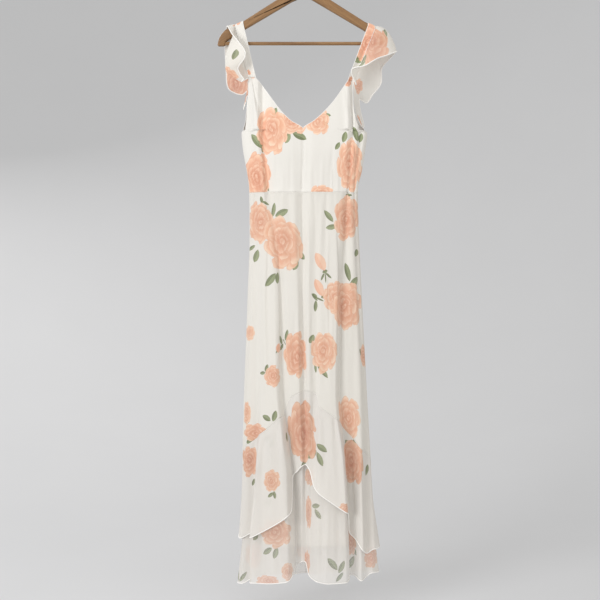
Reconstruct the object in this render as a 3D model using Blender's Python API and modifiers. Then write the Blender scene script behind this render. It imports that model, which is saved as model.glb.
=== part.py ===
"""Maxi dress with flutter sleeves and a two-tier arched hem, on a wooden hanger.

Sizes are millimetres. A drop is measured down from the inside of the hook, where the
hanger rests on its rod. +X is the viewer's right, the front of the dress faces -Y.
"""

import math
from collections import namedtuple

import bmesh
import bpy
import numpy as np
from mathutils import Matrix, Vector

COLLECTION = "maxi_dress_on_hanger"
MM = 0.001

# Cloth
WALL = 1.3
SEAM_GAP = 0.3
SIDE_GAP = 0.35
EDGE_GAP = 0.6
ARCH_GAP = 1.2
CLEARANCE = WALL + 2.0 * SEAM_GAP
FRONT = -1
BACK = 1

# Levels of the dress
STRAP_JOINT_LEFT = 322.0
STRAP_JOINT_RIGHT = 331.0
NECK_POINT_FRONT = 448.0
NECK_POINT_BACK = 458.0
NECK_POINT_X = -1.5
UNDERARM = 462.0
WAIST = 611.5
LINING_HEM = 1525.0
LOWER_INSET = 10.0
LOWER_SPREAD = 150.0

# Plan of the body at each level: an oval as deep as it stands off the centre line
Ring = namedtuple("Ring", "drop left right depth")
RINGS = (
    Ring(300.0, -160.0, 162.0, 19.0),
    Ring(400.0, -160.0, 163.0, 26.0),
    Ring(462.0, -159.0, 163.0, 32.0),
    Ring(506.0, -155.0, 158.0, 33.0),
    Ring(557.0, -146.0, 150.0, 29.0),
    Ring(611.0, -139.0, 139.0, 24.0),
    Ring(728.0, -138.0, 142.0, 34.0),
    Ring(880.0, -143.0, 149.0, 41.0),
    Ring(1016.0, -148.0, 156.0, 45.0),
    Ring(1150.0, -153.0, 163.0, 49.0),
    Ring(1262.0, -156.0, 169.0, 53.0),
    Ring(1388.0, -159.0, 176.0, 57.0),
    Ring(1530.0, -169.0, 196.0, 61.0),
    Ring(1640.0, -180.0, 206.0, 64.0),
)
RING_POWER = 2.2

# Fold lines from the left side seam to the right one. x and proud are read at STATIONS.
STATIONS = (450.0, 611.0, 880.0, 1120.0, 1340.0, 1560.0)
Fold = namedtuple("Fold", "name x proud arch upper_hem lower_hem")
FLAT = (0.0, 0.0, 0.0, 0.0, 0.0, 0.0)
FRONT_FOLDS = (
    Fold("left_seam", None, FLAT, 1285, 1496, 1620),
    Fold("left_roll", (-140, -133, -136, -143, -149, -162), (1, 0, 1, 1, 2, 3), 1266, 1493, 1617),
    Fold("left_dip", (-133, -125, -123, -120, -122, -141), (0, -1, -3, -4, -9, -12), 1244, 1486, 1605),
    Fold("left_lip", (-128, -118, -110, -107, -114, -132), (2, 0, 1, 3, 8, 14), 1233, 1480, 1608),
    Fold("left_ridge", (-123, -110, -92, -87, -82, -92), (3, 1, 4, 7, 13, 18), 1214, 1469, 1607),
    Fold("left_crest", (-118, -103, -75, -69, -44, -40), (3, 2, 5, 9, 16, 20), 1193, 1437, 1600),
    Fold("left_edge", (-112, -97, -66, -60, -35, -29), (-1, -1, 1, 2, 3, 3), 1188, 1425, 1589),
    Fold("left_fall", (-106, -89, -58, -52, -29, -21), (-6, -5, -6, -9, -18, -26), 1170, 1343, 1569),
    Fold("centre_left", (-82, -66, -40, -33, -16, -12), (3, 2, 2, 2, -8, -20), 1140, 1326, 1563),
    Fold("centre_ridge", (-35, -30, -17, -12, -4, -3), (1, 2, 4, 5, 0, -12), 1128, 1312, 1556),
    Fold("centre_crease", (-2, -2, -2, 0, 4, 5), (-2, -4, -5, -6, -6, -12), 1125, 1309, 1558),
    Fold("centre_right", (24, 19, 13, 13, 15, 14), (1, 2, 3, 4, 1, 2), 1124, 1322, 1588),
    Fold("right_gutter", (53, 42, 29, 31, 26, 23), (1, 1, 0, -1, 4, 12), 1131, 1362, 1595),
    Fold("right_lip", (73, 59, 45, 41, 37, 35), (2, 1, 3, 5, 12, 20), 1163, 1378, 1600),
    Fold("right_ridge", (91, 76, 63, 60, 66, 63), (3, 2, 5, 8, 16, 24), 1178, 1400, 1604),
    Fold("right_crest", (109, 94, 81, 77, 96, 104), (3, 2, 6, 9, 16, 22), 1192, 1425, 1603),
    Fold("right_edge", (117, 107, 91, 86, 107, 116), (-1, 0, 0, 1, 1, 3), 1202, 1434, 1601),
    Fold("right_fall", (124, 115, 100, 96, 115, 124), (-5, -5, -6, -9, -18, -24), 1218, 1466, 1597),
    Fold("side_hollow", (130, 121, 117, 117, 133, 135), (2, 1, -1, -3, -12, -14), 1243, 1494, 1594),
    Fold("side_ridge", (136, 126, 131, 140, 144, 146), (1, 1, 4, 5, 7, 8), 1271, 1525, 1604),
    Fold("side_dip", (146, 131, 140, 153, 162, 164), (-3, -1, -1, -1, -4, -6), 1284, 1537, 1600),
    Fold("right_roll", (155, 135, 145, 160, 171, 179), (1, 0, 1, 1, 2, 3), 1301, 1527, 1589),
    Fold("right_seam", None, FLAT, 1318, 1527, 1592),
)
BACK_FOLDS = (
    Fold("left_seam", None, FLAT, 1285, 1496, 1620),
    Fold("left_roll", (-140, -130, -133, -140, -146, -160), (1, 0, 1, 1, 2, 3), 1296, 1510, 1620),
    Fold("left_dip", (-120, -112, -112, -116, -120, -134), (-2, -2, -4, -6, -9, -12), 1306, 1524, 1612),
    Fold("left_ridge", (-92, -88, -86, -86, -90, -100), (2, 2, 6, 9, 14, 18), 1316, 1538, 1618),
    Fold("left_valley", (-64, -58, -52, -50, -56, -62), (-3, -4, -6, -9, -13, -18), 1324, 1536, 1606),
    Fold("centre_left", (-30, -26, -24, -20, -24, -28), (2, 2, 5, 8, 12, 16), 1330, 1546, 1618),
    Fold("centre_dip", (-4, -2, 0, 6, 4, 2), (-2, -3, -5, -8, -12, -16), 1332, 1540, 1606),
    Fold("centre_right", (26, 24, 26, 34, 32, 32), (2, 2, 5, 8, 12, 17), 1334, 1550, 1618),
    Fold("right_valley", (58, 52, 50, 60, 62, 64), (-3, -4, -6, -9, -13, -18), 1332, 1542, 1602),
    Fold("right_ridge", (86, 82, 82, 92, 98, 102), (2, 2, 6, 9, 14, 18), 1330, 1546, 1610),
    Fold("right_dip", (114, 106, 112, 122, 130, 136), (-2, -2, -4, -6, -9, -12), 1326, 1536, 1600),
    Fold("right_roll", (146, 130, 140, 152, 164, 176), (1, 0, 1, 1, 2, 3), 1322, 1532, 1598),
    Fold("right_seam", None, FLAT, 1318, 1527, 1592),
)

# The lining follows the outer folds less and lies deeper the lower it hangs
LiningLevel = namedtuple("LiningLevel", "drop follow inset shrink")
LINING = (
    LiningLevel(611.0, 1.0, 2.6, 0.0),
    LiningLevel(700.0, 0.7, 5.2, 0.0),
    LiningLevel(880.0, 0.4, 7.5, 0.0),
    LiningLevel(1120.0, 0.3, 8.0, 4.0),
    LiningLevel(1180.0, 0.2, 9.0, 11.0),
    LiningLevel(1340.0, 0.15, 11.0, 22.0),
    LiningLevel(1530.0, 0.15, 11.0, 31.0),
)
SHRINK_ACROSS = 1.6

# Cut edges of the bodice: where armhole and neckline lie at each level
BodiceEdge = namedtuple("BodiceEdge", "drop armhole_left neck_left neck_right armhole_right")
FRONT_EDGES = (
    BodiceEdge(322.0, -140.5, -122.8, 120.0, 130.0),
    BodiceEdge(331.0, -140.0, -115.5, 113.0, 128.5),
    BodiceEdge(351.0, -140.0, -99.5, 98.5, 126.5),
    BodiceEdge(377.0, -143.0, -80.0, 79.5, 126.5),
    BodiceEdge(402.0, -144.5, -60.0, 56.5, 128.0),
    BodiceEdge(428.0, -146.0, -33.0, 27.0, 134.0),
    BodiceEdge(448.0, -148.0, -1.5, -1.5, 142.0),
)
BACK_EDGES = (
    BodiceEdge(322.0, -140.5, -122.8, 120.0, 130.0),
    BodiceEdge(331.0, -140.5, -116.0, 113.0, 128.5),
    BodiceEdge(351.0, -141.5, -101.0, 99.0, 128.0),
    BodiceEdge(377.0, -145.0, -82.0, 81.0, 129.0),
    BodiceEdge(402.0, -147.5, -62.0, 60.0, 132.0),
    BodiceEdge(428.0, -150.0, -38.0, 34.0, 139.0),
    BodiceEdge(458.0, -156.0, -1.5, -1.5, 158.0),
)

# Hanger: a flat wooden A with a dowel across its ends
ARM_THICK = 13.0
ARM_EDGE = 4.0
ArmPoint = namedtuple("ArmPoint", "out top")
ARM_TOP = (
    ArmPoint(0.0, 75.0),
    ArmPoint(16.0, 79.0),
    ArmPoint(30.0, 94.5),
    ArmPoint(158.9, 176.5),
    ArmPoint(177.0, 184.5),
    ArmPoint(193.8, 192.2),
    ArmPoint(201.8, 196.6),
    ArmPoint(211.6, 207.4),
    ArmPoint(217.5, 217.5),
    ArmPoint(221.6, 232.2),
)
ARM_END_DROP = 238.0
ARM_END_OUT = 222.0
LUG_OUT = 203.0
ARM_UNDER = (
    ArmPoint(200.0, 226.5),
    ArmPoint(193.8, 222.4),
    ArmPoint(177.0, 211.6),
    ArmPoint(153.3, 196.6),
    ArmPoint(21.2, 118.7),
    ArmPoint(9.0, 112.5),
    ArmPoint(0.0, 110.5),
)
BAR_RADIUS = 4.5
BAR_DROP = 231.2
BAR_HOLE_RADIUS = 4.9
BAR_HOLE_OUT = 215.0
HOOK_WIRE_RADIUS = 2.0
HOOK_INNER_RADIUS = 17.0
HOOK_HOLE_RADIUS = 2.4
HOOK_HOLE_DEPTH = 22.0
HOOK_SHANK_TOP = 54.0
HOOK_START_ANGLE = -48.0
HOOK_END_ANGLE = 196.0
HOOK_PULL = 0.45
HOOK_NECK_STEPS = 7
HOOK_ARC_STEPS = 22
HOLE_OVERRUN = 10.0
LUG_STEP = 2.0

# Straps pass over the arms between 'inner' and 'outer', and flutters are sewn outside them
STRAP_STANDOFF = 0.8
STRAP_BEND = 0.12
STRAP_CORNER = 3.5
Strap = namedtuple("Strap", "side joint inner_joint outer_joint inner_top outer_top")
STRAP_LEFT = Strap(-1, STRAP_JOINT_LEFT, 122.8, 140.5, 156.0, 175.0)
STRAP_RIGHT = Strap(1, STRAP_JOINT_RIGHT, 113.0, 128.5, 166.0, 184.0)
FLUTTER_GAP = 0.95
ARMHOLE_GAP = 1.9
ARMHOLE_STEP = 100.0

# A station is one cross-run of a flutter, from its seam to its hem. 'along' is -1 at the
# front strap joint, 0 over the arm and 1 at the back joint, then on down the armhole.
Station = namedtuple("Station", "along mid_out mid_front mid_drop hem_out hem_front hem_drop")
FLUTTER_LEFT = (
    Station(-1.00, 172, 24, 342, 152, 28, 330),
    Station(-0.78, 232, 32, 332, 167, 38, 304),
    Station(-0.55, 244, 28, 298, 149, 47, 278),
    Station(-0.32, 228, 20, 266, 151, 46, 258),
    Station(-0.14, 182, 16, 206, 178, 30, 221),
    Station(-0.06, 184, 13, 190, 189, 20, 201),
    Station(0.00, 188, 0, 180, 197, 0, 186),
    Station(0.06, 192, -12, 188, 201, -15, 200),
    Station(0.14, 190, -16, 206, 204, -22, 240),
    Station(0.32, 184, -19, 256, 201, -27, 300),
    Station(0.50, 176, -20, 298, 197, -30, 338),
    Station(0.68, 166, -20, 322, 180, -32, 352),
    Station(0.85, 154, -19, 332, 160, -30, 357),
    Station(1.02, 146, -18, 338, 146, -24, 350),
    Station(1.20, 151, -20, 360, 157, -24, 396),
    Station(1.40, 149, -18, 368, 149, -20, 376),
)
FLUTTER_RIGHT = (
    Station(-1.00, 136, 19, 337, 134, 24, 342),
    Station(-0.80, 148, 32, 298, 121, 42, 307),
    Station(-0.55, 166, 38, 266, 156, 46, 299),
    Station(-0.32, 170, 32, 236, 188, 42, 279),
    Station(-0.16, 207, 24, 210, 214, 32, 268),
    Station(-0.07, 219, 15, 196, 234, 18, 258),
    Station(0.00, 224, 0, 184, 238, 0, 252),
    Station(0.07, 218, -15, 194, 228, -16, 262),
    Station(0.20, 200, -18, 226, 204, -22, 290),
    Station(0.40, 186, -18, 268, 202, -26, 328),
    Station(0.62, 170, -20, 310, 180, -30, 358),
    Station(0.85, 152, -20, 330, 164, -28, 379),
    Station(1.02, 140, -18, 345, 145, -24, 372),
    Station(1.25, 142, -18, 385, 152, -24, 412),
    Station(1.55, 140, -18, 410, 156, -22, 440),
    Station(1.85, 146, -16, 432, 150, -18, 446),
)

# Mesh density, and the steps that slopes are measured over
FRONT_PARTS = 2
BACK_PARTS = 2
SKIRT_ROWS = 10
UPPER_ROWS = 6
LOWER_EXTRA_ROWS = 3
LINING_ROWS = 10
TURN_STEP = 0.004
PLACE_STEP = 0.2
BODICE_COLUMNS = 9
BODICE_ROWS = 10
STRAP_COLUMNS = 2
STRAP_ROWS = 20
FLUTTER_COLUMNS = 6
FLUTTER_PARTS = 2

# Colours: base colour, roughness, metallic
Finish = namedtuple("Finish", "colour roughness metallic")
CHIFFON = Finish((0.86, 0.82, 0.76), 0.75, 0.0)
LINING_CLOTH = Finish((0.90, 0.88, 0.85), 0.7, 0.0)
WOOD = Finish((0.26, 0.14, 0.06), 0.5, 0.0)
STEEL = Finish((0.62, 0.62, 0.63), 0.25, 1.0)


def smooth_through(knots, values, at):
    """Monotone cubic through the values, read at one place and held past both ends."""
    knots = np.asarray(knots, dtype=float)
    values = np.asarray(values, dtype=float)
    steps = np.diff(knots).reshape((-1,) + (1,) * (values.ndim - 1))
    slopes = np.diff(values, axis=0) / steps
    rising = slopes[:-1] * slopes[1:] > 0.0
    total = np.where(rising, slopes[:-1] + slopes[1:], 1.0)
    tangents = np.zeros_like(values)
    tangents[1:-1] = np.where(rising, 2.0 * slopes[:-1] * slopes[1:] / total, 0.0)
    at = min(max(at, knots[0]), knots[-1])
    left = min(int(np.searchsorted(knots, at, side="right")) - 1, len(knots) - 2)
    step = knots[left + 1] - knots[left]
    f = (at - knots[left]) / step
    start = values[left] * (1.0 + 2.0 * f) * (1.0 - f) ** 2 + step * tangents[left] * f * (1.0 - f) ** 2
    end = values[left + 1] * f * f * (3.0 - 2.0 * f) + step * tangents[left + 1] * f * f * (f - 1.0)
    return start + end


def table_at(rows, column, at):
    """One column of a table whose rows are keyed by drop, read between its rows."""
    return float(smooth_through([row.drop for row in rows], [getattr(row, column) for row in rows], at))


def smooth_step(fraction):
    fraction = min(max(fraction, 0.0), 1.0)
    return fraction * fraction * (3.0 - 2.0 * fraction)


def mix(start, end, fraction):
    return start + (end - start) * fraction


def signed_power(value, power):
    return math.copysign(abs(value) ** power, value)


def ring_at(drop):
    """Centre, half width and half depth of the body's oval."""
    left = table_at(RINGS, "left", drop)
    right = table_at(RINGS, "right", drop)
    return 0.5 * (left + right), 0.5 * (right - left), table_at(RINGS, "depth", drop)


def turn_of(x, drop):
    """Place round the oval of a point x across it, from -1 left seam to 1 right seam."""
    centre, half_width, _ = ring_at(drop)
    across = min(max((x - centre) / half_width, -1.0), 1.0)
    return 2.0 / math.pi * math.asin(signed_power(across, 0.5 * RING_POWER))


def ring_point(turn, drop, face, proud, shrink=0.0):
    """Point on the front or back of the oval, moved out along its normal by 'proud'."""
    centre, half_width, half_depth = ring_at(drop)
    half_width -= SHRINK_ACROSS * shrink
    half_depth -= shrink
    angle = 0.5 * math.pi * turn
    across = signed_power(math.sin(angle), 2.0 / RING_POWER)
    deep = max(math.cos(angle), 0.0) ** (2.0 / RING_POWER)
    normal_x = signed_power(across, RING_POWER - 1.0) / half_width
    normal_y = deep ** (RING_POWER - 1.0) / half_depth
    length = math.hypot(normal_x, normal_y)
    x = centre + half_width * across + proud * normal_x / length
    y = face * (SIDE_GAP + half_depth * deep + proud * normal_y / length)
    return Vector((x, y, -drop))


def fold_lines(folds, drop):
    """Turn and proud height of every fold line at one drop."""
    inner = folds[1:-1]
    xs = smooth_through(STATIONS, np.array([fold.x for fold in inner]).T, drop)
    prouds = smooth_through(STATIONS, np.array([fold.proud for fold in folds]).T, drop)
    turns = [-1.0] + [turn_of(x, drop) for x in xs] + [1.0]
    return turns, prouds


def fold_edge(folds, column, place):
    """Drop of a cut edge at a place counted in fold lines."""
    return float(smooth_through(range(len(folds)), [getattr(fold, column) for fold in folds], place))


def outer_point(folds, face, place, drop, top):
    """Point of the outer cloth at a place counted in fold lines."""
    turns, prouds = fold_lines(folds, drop)
    turn = float(smooth_through(range(len(folds)), turns, place))
    return ring_point(turn, drop, face, float(smooth_through(turns, prouds, turn)))


def lower_point(folds, face, place, drop, top):
    """The lower tier hugs the upper one at the seam and hangs free inside it below."""
    turns, prouds = fold_lines(folds, drop)
    turn = float(smooth_through(range(len(folds)), turns, place))
    proud = float(smooth_through(turns, prouds, turn))
    outer = ring_point(turn, drop, face, proud)
    before = max(turn - TURN_STEP, -1.0)
    after = min(turn + TURN_STEP, 1.0)
    along = (ring_point(after, drop, face, float(smooth_through(turns, prouds, after)))
             - ring_point(before, drop, face, float(smooth_through(turns, prouds, before))))
    hugging = outer - Vector((-along.y, along.x, 0.0)).normalized() * CLEARANCE * face
    hanging = ring_point(turn, drop, face, proud - LOWER_INSET)
    return hugging.lerp(hanging, smooth_step((drop - top) / LOWER_SPREAD))


def lining_point(folds, face, place, drop, top):
    """The lining has shallower folds on a smaller oval."""
    turns, prouds = fold_lines(folds, drop)
    turn = float(smooth_through(range(len(folds)), turns, place))
    proud = table_at(LINING, "follow", drop) * float(smooth_through(turns, prouds, turn))
    proud -= table_at(LINING, "inset", drop)
    return ring_point(turn, drop, face, proud, table_at(LINING, "shrink", drop))


def body_point(folds, face, x, drop):
    """Point of the bodice at x across the body."""
    turns, prouds = fold_lines(folds, drop)
    turn = turn_of(x, drop)
    return ring_point(turn, drop, face, float(smooth_through(turns, prouds, turn)))


def new_material(name, finish):
    material = bpy.data.materials.new(name)
    material.use_nodes = True
    shader = material.node_tree.nodes["Principled BSDF"]
    shader.inputs["Base Color"].default_value = (*finish.colour, 1.0)
    shader.inputs["Roughness"].default_value = finish.roughness
    shader.inputs["Metallic"].default_value = finish.metallic
    return material


def add_object(name, data, finish, collection):
    data.materials.append(new_material(name, finish))
    item = bpy.data.objects.new(name, data)
    collection.objects.link(item)
    return item


def add_grid(mesh, columns, rows, point_at):
    """Add a grid whose point at (across, down), both 0 to 1, is point_at's, in millimetres."""
    made = bmesh.ops.create_grid(mesh, x_segments=columns, y_segments=rows, size=1.0)
    for vert in made["verts"]:
        across = 0.5 * (vert.co.x + 1.0)
        down = 0.5 * (1.0 - vert.co.y)
        vert.co = point_at(across, down) * MM


def add_cloth(name, grids, finish, collection, outward, centred=False):
    """Cloth wall grown outwards from grids that share their edges."""
    mesh = bmesh.new()
    for columns, rows, point_at in grids:
        add_grid(mesh, columns, rows, point_at)
    bmesh.ops.remove_doubles(mesh, verts=mesh.verts, dist=0.01 * MM)
    bmesh.ops.recalc_face_normals(mesh, faces=mesh.faces)
    facing = sum((face.normal * face.calc_area() for face in mesh.faces), Vector())
    if facing.dot(outward) < 0.0:
        bmesh.ops.reverse_faces(mesh, faces=mesh.faces)
    data = bpy.data.meshes.new(name)
    mesh.to_mesh(data)
    mesh.free()
    data.shade_smooth()
    item = add_object(name, data, finish, collection)
    wall = item.modifiers.new("wall", "SOLIDIFY")
    wall.thickness = WALL * MM
    wall.offset = 0.0 if centred else 1.0
    return item


def arch_edge(folds, face, place, side):
    """Drop of the arched seam, parted by half the gap measured square to the seam."""
    last = len(folds) - 1
    ends = []
    for near in (max(place - PLACE_STEP, 0.0), min(place + PLACE_STEP, last)):
        ends.append(outer_point(folds, face, near, fold_edge(folds, "arch", near), 0.0))
    along = ends[1] - ends[0]
    slant = math.hypot(1.0, along.z / max(math.hypot(along.x, along.y), 0.1))
    return fold_edge(folds, "arch", place) + side * 0.5 * ARCH_GAP * slant


def skirt_panel(folds, face, cloth_point, levels):
    """Skirt layer through cut edges, each given as (share of the rows, drop at a place)."""
    lines = len(folds) - 1

    def point_at(across, down):
        place = across * lines
        drops = [edge(place) for share, edge in levels]
        drop = float(np.interp(down, [share for share, edge in levels], drops))
        return cloth_point(folds, face, place, drop, drops[0])

    return point_at


def build_skirt(collection):
    """Skirt, two flounce tiers and lining, each as a front and a back panel."""
    sides = (("front", FRONT, FRONT_FOLDS, FRONT_PARTS), ("back", BACK, BACK_FOLDS, BACK_PARTS))
    for side, face, folds, parts in sides:
        lines = len(folds) - 1

        def waist(place):
            return WAIST + 0.5 * EDGE_GAP

        def arch_above(place):
            return arch_edge(folds, face, place, -1)

        def arch_below(place):
            return arch_edge(folds, face, place, 1)

        def upper_hem(place):
            return fold_edge(folds, "upper_hem", place)

        def lower_hem(place):
            return fold_edge(folds, "lower_hem", place)

        def lining_hem(place):
            return LINING_HEM

        lower_rows = UPPER_ROWS + LOWER_EXTRA_ROWS
        tiers = ((0.0, arch_below), (UPPER_ROWS / lower_rows, upper_hem), (1.0, lower_hem))
        top = ((0.0, waist), (1.0, arch_above))
        upper = ((0.0, arch_below), (1.0, upper_hem))
        slip = ((0.0, waist), (1.0, lining_hem))
        layers = (
            ("skirt_", SKIRT_ROWS, parts, outer_point, top, CHIFFON),
            ("upper_flounce_", UPPER_ROWS, parts, outer_point, upper, CHIFFON),
            ("lower_flounce_", lower_rows, parts, lower_point, tiers, CHIFFON),
            ("lining_", LINING_ROWS, 1, lining_point, slip, LINING_CLOTH),
        )
        for name, rows, pieces, cloth_point, levels, finish in layers:
            grid = (pieces * lines, rows, skirt_panel(folds, face, cloth_point, levels))
            add_cloth(name + side, (grid,), finish, collection, Vector((0.0, face, 0.0)))


def armhole_turn(edges, side, drop):
    """Place round the body of the armhole edge, which meets the side seam at the underarm."""
    column = "armhole_left" if side < 0 else "armhole_right"
    last = edges[-1].drop
    if drop >= UNDERARM:
        return float(side)
    edge = turn_of(table_at(edges, column, min(drop, last)), drop)
    return mix(edge, side, smooth_step((drop - last) / (UNDERARM - last)))


def armhole_point(folds, edges, face, side, drop):
    turns, prouds = fold_lines(folds, drop)
    turn = armhole_turn(edges, side, drop)
    return ring_point(turn, drop, face, float(smooth_through(turns, prouds, turn)))


def half_bodice(folds, edges, face, side, joint, neck_point):
    """Half of a bodice panel, from its armhole and side seam to its neckline and centre."""
    column = "neck_left" if side < 0 else "neck_right"

    def point_at(across, down):
        if down < 0.5:
            drop = mix(joint + EDGE_GAP, neck_point, 2.0 * down)
            neck = table_at(edges, column, drop)
        else:
            drop = mix(neck_point, WAIST - 0.5 * EDGE_GAP, 2.0 * down - 1.0)
            neck = NECK_POINT_X
        turns, prouds = fold_lines(folds, drop)
        turn = mix(armhole_turn(edges, side, drop), turn_of(neck, drop), across)
        return ring_point(turn, drop, face, float(smooth_through(turns, prouds, turn)))

    return BODICE_COLUMNS, BODICE_ROWS, point_at


def build_bodice(collection):
    panels = (
        ("bodice_front", FRONT, FRONT_FOLDS, FRONT_EDGES, NECK_POINT_FRONT),
        ("bodice_back", BACK, BACK_FOLDS, BACK_EDGES, NECK_POINT_BACK),
    )
    for name, face, folds, edges, neck_point in panels:
        halves = (
            half_bodice(folds, edges, face, -1, STRAP_JOINT_LEFT, neck_point),
            half_bodice(folds, edges, face, 1, STRAP_JOINT_RIGHT, neck_point),
        )
        add_cloth(name, halves, CHIFFON, collection, Vector((0.0, face, 0.0)))


def arm_top_at(out):
    """Drop of the hanger's upper edge."""
    outs = [point.out for point in ARM_TOP]
    return float(np.interp(out, outs, [point.top for point in ARM_TOP]))


def strap_point(strap, across, along, lift=0.0):
    """Point of a strap's inner face: across 0 inner to 1 outer, along -1 front to 1 back."""
    stand = 0.5 * ARM_THICK + STRAP_STANDOFF + lift
    out_top = mix(strap.inner_top, strap.outer_top, across)
    top = arm_top_at(out_top) - STRAP_STANDOFF - lift
    reach = abs(along)
    face = math.copysign(1.0, along)
    if reach < STRAP_BEND:
        angle = 0.5 * math.pi * reach / STRAP_BEND
        y = face * stand * math.sin(angle) ** (2.0 / STRAP_CORNER)
        drop = top + stand * (1.0 - math.cos(angle) ** (2.0 / STRAP_CORNER))
        return Vector((strap.side * out_top, y, -drop))
    out_joint = mix(strap.inner_joint, strap.outer_joint, across)
    folds = FRONT_FOLDS if along < 0.0 else BACK_FOLDS
    foot = body_point(folds, FRONT if along < 0.0 else BACK, strap.side * out_joint, strap.joint)
    rise = (1.0 - reach) / (1.0 - STRAP_BEND)
    x = strap.side * mix(out_joint, out_top, rise)
    y = mix(foot.y + face * lift, face * stand, rise)
    return Vector((x, y, -mix(strap.joint, top + stand, rise)))


def build_straps(collection):
    for name, strap in (("strap_left", STRAP_LEFT), ("strap_right", STRAP_RIGHT)):

        def point_at(across, down):
            along = 2.0 * down - 1.0
            return strap_point(strap, across, along * abs(along))

        side = Vector((0.0, 0.0, 1.0))
        add_cloth(name, ((STRAP_COLUMNS, STRAP_ROWS, point_at),), CHIFFON, collection, side)


def flutter_seam(strap, along):
    """Where a flutter is sewn: the strap's outer edge, then the armhole below each joint."""
    if abs(along) <= 1.0:
        edge = strap_point(strap, 1.0, along, 0.5 * WALL)
        return edge + Vector((strap.side * FLUTTER_GAP, 0.0, 0.0))
    drop = strap.joint + ARMHOLE_STEP * (abs(along) - 1.0)
    point = armhole_point(BACK_FOLDS, BACK_EDGES, BACK, strap.side, drop)
    return point + Vector((strap.side * ARMHOLE_GAP, 0.0, 0.0))


def spline_at(points, place):
    """Catmull-Rom curve through a list of vectors, read at a place counted in points."""
    last = len(points) - 1
    left = min(int(place), last - 1)
    f = place - left
    before = points[max(left - 1, 0)]
    start = points[left]
    end = points[left + 1]
    after = points[min(left + 2, last)]
    linear = end - before
    square = 2.0 * before - 5.0 * start + 4.0 * end - after
    cube = 3.0 * start - before - 3.0 * end + after
    return start + 0.5 * (linear * f + square * f * f + cube * f ** 3)


def build_flutter(name, strap, stations, collection):
    """Flutter sleeve: a run from seam to hem at each station, swept along the armhole."""
    alongs = [row.along for row in stations]
    middles = [Vector((strap.side * row.mid_out, -row.mid_front, -row.mid_drop)) for row in stations]
    hems = [Vector((strap.side * row.hem_out, -row.hem_front, -row.hem_drop)) for row in stations]
    runs = len(stations) - 1

    def point_at(across, down):
        place = down * runs
        seam = flutter_seam(strap, float(smooth_through(range(len(alongs)), alongs, place)))
        middle = spline_at(middles, place)
        hem = spline_at(hems, place)
        return seam * (1.0 - across) ** 2 + middle * 2.0 * across * (1.0 - across) + hem * across ** 2

    outward = Vector((strap.side, 0.0, 0.3))
    grids = ((FLUTTER_COLUMNS, FLUTTER_PARTS * runs, point_at),)
    return add_cloth(name, grids, CHIFFON, collection, outward, centred=True)


def add_cutter(name, radius, length, centre, turn, collection):
    """Round cutter, hidden from renders."""
    mesh = bmesh.new()
    placed = Matrix.Translation(centre * MM) @ turn
    bmesh.ops.create_cone(
        mesh, cap_ends=True, segments=24, radius1=radius * MM, radius2=radius * MM,
        depth=length * MM, matrix=placed,
    )
    data = bpy.data.meshes.new(name)
    mesh.to_mesh(data)
    mesh.free()
    cutter = bpy.data.objects.new(name, data)
    cutter.hide_render = True
    cutter.display_type = "WIRE"
    collection.objects.link(cutter)
    return cutter


def hanger_outline():
    """Closed outline of the wooden A, right half then left half, as (x, z)."""
    half = [(point.out, -point.top) for point in ARM_TOP]
    half.append((ARM_END_OUT, -ARM_END_DROP))
    half.append((LUG_OUT, -ARM_END_DROP))
    half.append((LUG_OUT - LUG_STEP, -BAR_DROP))
    half.extend((point.out, -point.top) for point in ARM_UNDER)
    mirrored = [(-x, z) for x, z in reversed(half) if x > 0.0]
    return half + mirrored


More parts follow.
